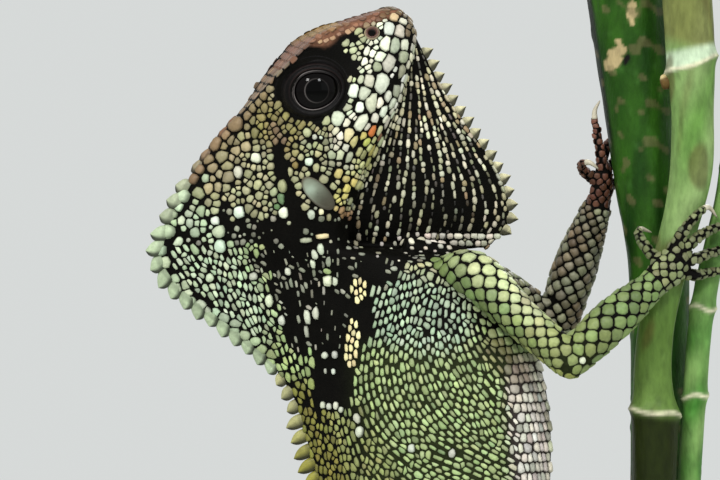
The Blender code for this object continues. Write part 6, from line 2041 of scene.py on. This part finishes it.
# Rows of scales round the head and round the rest: first and last section, first and last height,
# spacing, width, style, jitter, caps and mix.
HEAD_ROWS = (
    ((0.2, 6.4, 0.0, 0.13), 0.8, 0.7, "smooth", 0.6),
    ((0.2, 9.5, 0.13, 0.78), 1.25, 0.85, "plate", 0.7, (0.60, 0.58)),
    ((0.2, 9.5, 0.78, 0.985), 1.4, 0.9, "plate", 0.5),
    ((6.4, 15.0, 0.0, 0.07), 1.6, 1.2, "pebble", 0.6, COMMON_CAPS, MIXED),
    ((0.3, 9.5, 0.12, 0.80), 0.85, 0.60, "plate", 1.0, (0.56, 0.56)),
    ((6.4, 9.5, 0.07, 0.20), 0.62, 0.62, "pebble", 1.0, (0.86, 0.84), MIXED),
    ((9.5, 15.0, 0.20, 1.0), 0.62, 0.62, "pebble", 1.0, (0.84, 0.82), MIXED),
    ((9.5, 15.0, 0.07, 0.20), 0.80, 0.80, "pebble", 1.0, (0.84, 0.80), MIXED),
)
TRUNK_ROWS = (
    ((15.0, 18.5, 0.0, 0.07), 1.6, 1.2, "flank", 0.4),
    ((15.0, 18.5, 0.07, 1.0), 0.9, 0.7, "flank", 1.0, (0.80, 0.60)),
    ((18.5, 29.0, 0.0, 0.84), 1.1, 0.8, "flank", 1.0, (0.72, 0.56)),
    ((18.5, 29.0, 0.82, 1.0), 1.6, 1.25, "belly", 0.15),
    ((29.0, 45.7, 0.0, 1.0), 1.8, 1.25, "tail", 0.12),
)

seeds = Seeds()
spot_seeds(seeds, [(x, z, 1.3 * long, 1.3 * wide, *own) for x, z, long, wide, *own in FACE_PLATES],
           "plate", CREAM, LABIAL_LIE)
spot_seeds(seeds, TUBERCLES, "tubercle", WHITE, DOWN)
spot_seeds(seeds, FOLD_BEADS, "bead", srgb(204, 200, 184), DOWN, SIDES[:1])
spot_seeds(seeds, line_spots(STREAK_LINES, 1.25, 0.72), "string", STREAK, DOWN)
spot_seeds(seeds, (ELBOW_SPOT,), "tubercle", WHITE, DOWN, SIDES[:1])
top_seeds(seeds, 0.4, 9.6, 0.36, "smooth")
for rows in HEAD_ROWS:
    body_seeds(seeds, *rows)
taken = np.empty((0, 2))
for level, low, high in STRING_LEVELS:
    starts = [(x, level) for x in np.arange(low, high, STRING_SPACING)]
    taken = string_seeds(seeds, starts, *STRING_SCALE, STRING_RANK, STRING_REGION, taken)
for rows in TRUNK_ROWS:
    body_seeds(seeds, *rows)
pouch_lip_seeds(seeds)
pouch_seeds(seeds)
for name, half, line, radii in limb_parts():
    order = 3.0 * half
    far = name == "arm_left"
    pitch, style = (1.1, "pebble") if far else (1.4, "limb")
    tube_seeds(seeds, line, radii, pitch, 2 * pitch, style, name, order, LIMB_TONES[name],
               caps=DIAMOND, jitter=0.12 if far else 0.04)
    ball_seeds(seeds, line[-1], radii[-1], round(52 / pitch**2), 0.62 * pitch, style, name, order + 1.0,
               LIMB_TONES[name])
for name, line, radii, normal in palm_parts():
    tone = FAR_HAND if name == "hand_left" else HAND
    tube_seeds(seeds, line, radii, 0.85, 1.7, "limb", name, 5.0, tone, PALM_FLATNESS, normal, DIAMOND)
for number, (name, line) in enumerate(digit_lines()):
    end = round(len(line) * DIGIT_CLAW_START) + 1
    radii = np.interp(np.arange(end), [0, end - 1], DIGIT_RADII)
    tone = FAR_HAND * 1.3 if name == "hand_left" else HAND * 0.8
    tube_seeds(seeds, line[:end], radii, 1.0, 1.0, "digit", name, float(number % 5), tone)

table = seeds.arrays()
places, table["normal"], found = nearest_on(SKIN_TREE, table["place"], SEED_REACH)
table["place"] = places
found &= np.linalg.norm(table["root"][:, :2], axis=1) > 0
# The scales next to the crown stay where the bare orbit reaches it.
around = (table["root"][:, 0] - CHARTS["body"][0]) / CHARTS["body"][2]
crown = of_style(table, "smooth") & ((np.abs(around - 0.5) < CROWN_HALF_WIDTH) | (around > 1.02))
for side in SIDES:
    found &= (orbit_share(places, side) > ORBIT_EDGE) | crown
for (x, z), long, wide, tilt in ((EAR_PLACE, *(h + EAR_MARGIN for h in EAR_HALVES), EAR_TILT),
                                 (NOSTRIL_PLACE, *NOSTRIL_BARE_HALVES, NOSTRIL_TILT)):
    dx, dz = places[:, 0] - x, places[:, 2] - z
    u, v = dx * math.cos(tilt) + dz * math.sin(tilt), dz * math.cos(tilt) - dx * math.sin(tilt)
    found &= ~(np.hypot(u / long, v / wide) < 1)
scale_domes(paint(without_slivers(thinned(picked(table, found)))), "scales")


def plain_edge(*colour):
    """A crest's colour that is the same at each place (x, z)."""
    return lambda x, z: srgb(*colour)


def fading_edge(first, last, low, high):
    """A crest's colour that goes from the first to the last between two heights."""
    return lambda x, z: lerp(first, last, smooth_step(low, high, z))


casque_edge = fading_edge(srgb(168, 178, 148), BROWN, 6.0, 16.0)
back_edge = fading_edge(srgb(178, 176, 128), srgb(142, 138, 58), -25.0, -36.0)
# Each crest's piece: form, edge, crests, colour, how far the painted shade on its spines' lower sides
# reaches, and its shape.
for name, form, edge, specs, colour, dark, *shape in (
    ("casque", BODY, 0, (CROWN_CREST, CASQUE_CREST), casque_edge, 0.3, (2.8, 1.35, 1.4)),
    ("nape", BODY, 0, (NAPE_CREST,), plain_edge(172, 188, 154), 0.35, (2.8, 1.4, 1.5)),
    ("back", BODY, 0, (FORE_BACK_CREST, BACK_CREST, HIP_CREST), back_edge, 0.65, (3.2, 1.4, 1.1)),
    ("tail", BODY, 0, (TAIL_CREST,), plain_edge(130, 122, 72), 0.5),
    ("pouch", POUCH, 2, (POUCH_CREST,), plain_edge(208, 202, 162), 1.0, (1.2, 1.1, 0.9), 1.0),
):
    leaves = [leaf for spec in specs for leaf in crest_leaves(form, edge, spec, colour, dark, *shape)]
    add_parts(f"crest_{name}", leaves, LOOKS["coat"], "skin_casque")
claw_pieces()

stem_piece("cane", CANE_LINE, CANE_RINGS, 0.42, 72, cane_colour, 40, ["perch_cane"], "cane")
stem_piece("side_shoot", SHOOT_LINE, SHOOT_RINGS, 0.4, 48, shoot_colour, 90, ["perch_cane"], "cane")
stem_piece("dark_stem", STEM_LINE, (), 0.42, 96, stem_colour, 420, ["perch_stem"], "stem", 1.3)
bud_piece()
wood, steel = wood_material(), steel_material()
for name, material in (("stand_base", wood), ("stand_rod_cane", steel), ("stand_rod_stem", steel)):
    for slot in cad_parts[name].material_slots:
        slot.material = material

# Floor, light and camera, in metres

FLOOR_RADIUS = 3.0
HEAD_PLACE = (-0.01, 0.0, 0.34)
# The camera's view at the animal's middle, and its lens in millimetres.
VIEW_WIDTH = 0.1152
LENS = 500.0
SENSOR_WIDTH = 36.0


def floor_piece():
    """A plain pale floor."""
    work = bmesh.new()
    bmesh.ops.create_circle(work, cap_ends=True, segments=96, radius=FLOOR_RADIUS)
    mesh = bpy.data.meshes.new("floor")
    work.to_mesh(mesh)
    work.free()
    obj = linked("floor", mesh)
    material, nodes, links, shader = new_material("floor", 0.9)
    add_ramp(nodes, links, shader, noise_node(nodes, links, 6.0), srgb(214, 217, 212), srgb(224, 226, 221))
    mesh.materials.append(material)


def area_light(name, place, size, power, colour=(1, 1, 1)):
    """A square light that faces the animal's head."""
    light = bpy.data.lights.new(name, "AREA")
    light.energy = power
    light.size = size
    light.color = colour
    obj = linked(name, light)
    obj.location = place
    obj.rotation_euler = (Vector(HEAD_PLACE) - Vector(place)).to_track_quat("-Z", "Y").to_euler()


floor_piece()
area_light("key", (-0.36, -0.68, 0.93), 0.16, 4.5, (1.0, 0.98, 0.95))
area_light("window", (0.30, -0.64, 0.88), 0.14, 2.6, (0.97, 0.99, 1.0))
area_light("fill", (0.85, -0.85, 0.60), 0.6, 0.6, (0.95, 0.98, 1.0))
area_light("back", (0.3, 0.9, 0.8), 0.5, 3.0)

world = bpy.data.worlds.new("studio")
world.use_nodes = True
background = world.node_tree.nodes["Background"]
background.inputs["Color"].default_value = (0.90, 0.93, 0.92, 1)
background.inputs["Strength"].default_value = 0.75
bpy.context.scene.world = world
bpy.context.scene.view_settings.view_transform = "Standard"

camera_data = bpy.data.cameras.new("camera")
camera_data.sensor_width = SENSOR_WIDTH
camera_data.lens = LENS
camera_data.clip_start = 0.05
camera_data.clip_end = 20.0
camera = linked("camera", camera_data)
camera.location = (-STAND_CENTRE_X * MM, -VIEW_WIDTH * LENS / SENSOR_WIDTH, FRAME_HEIGHT * MM)
camera.rotation_euler = (math.pi / 2, 0.0, 0.0)
bpy.context.scene.camera = camera
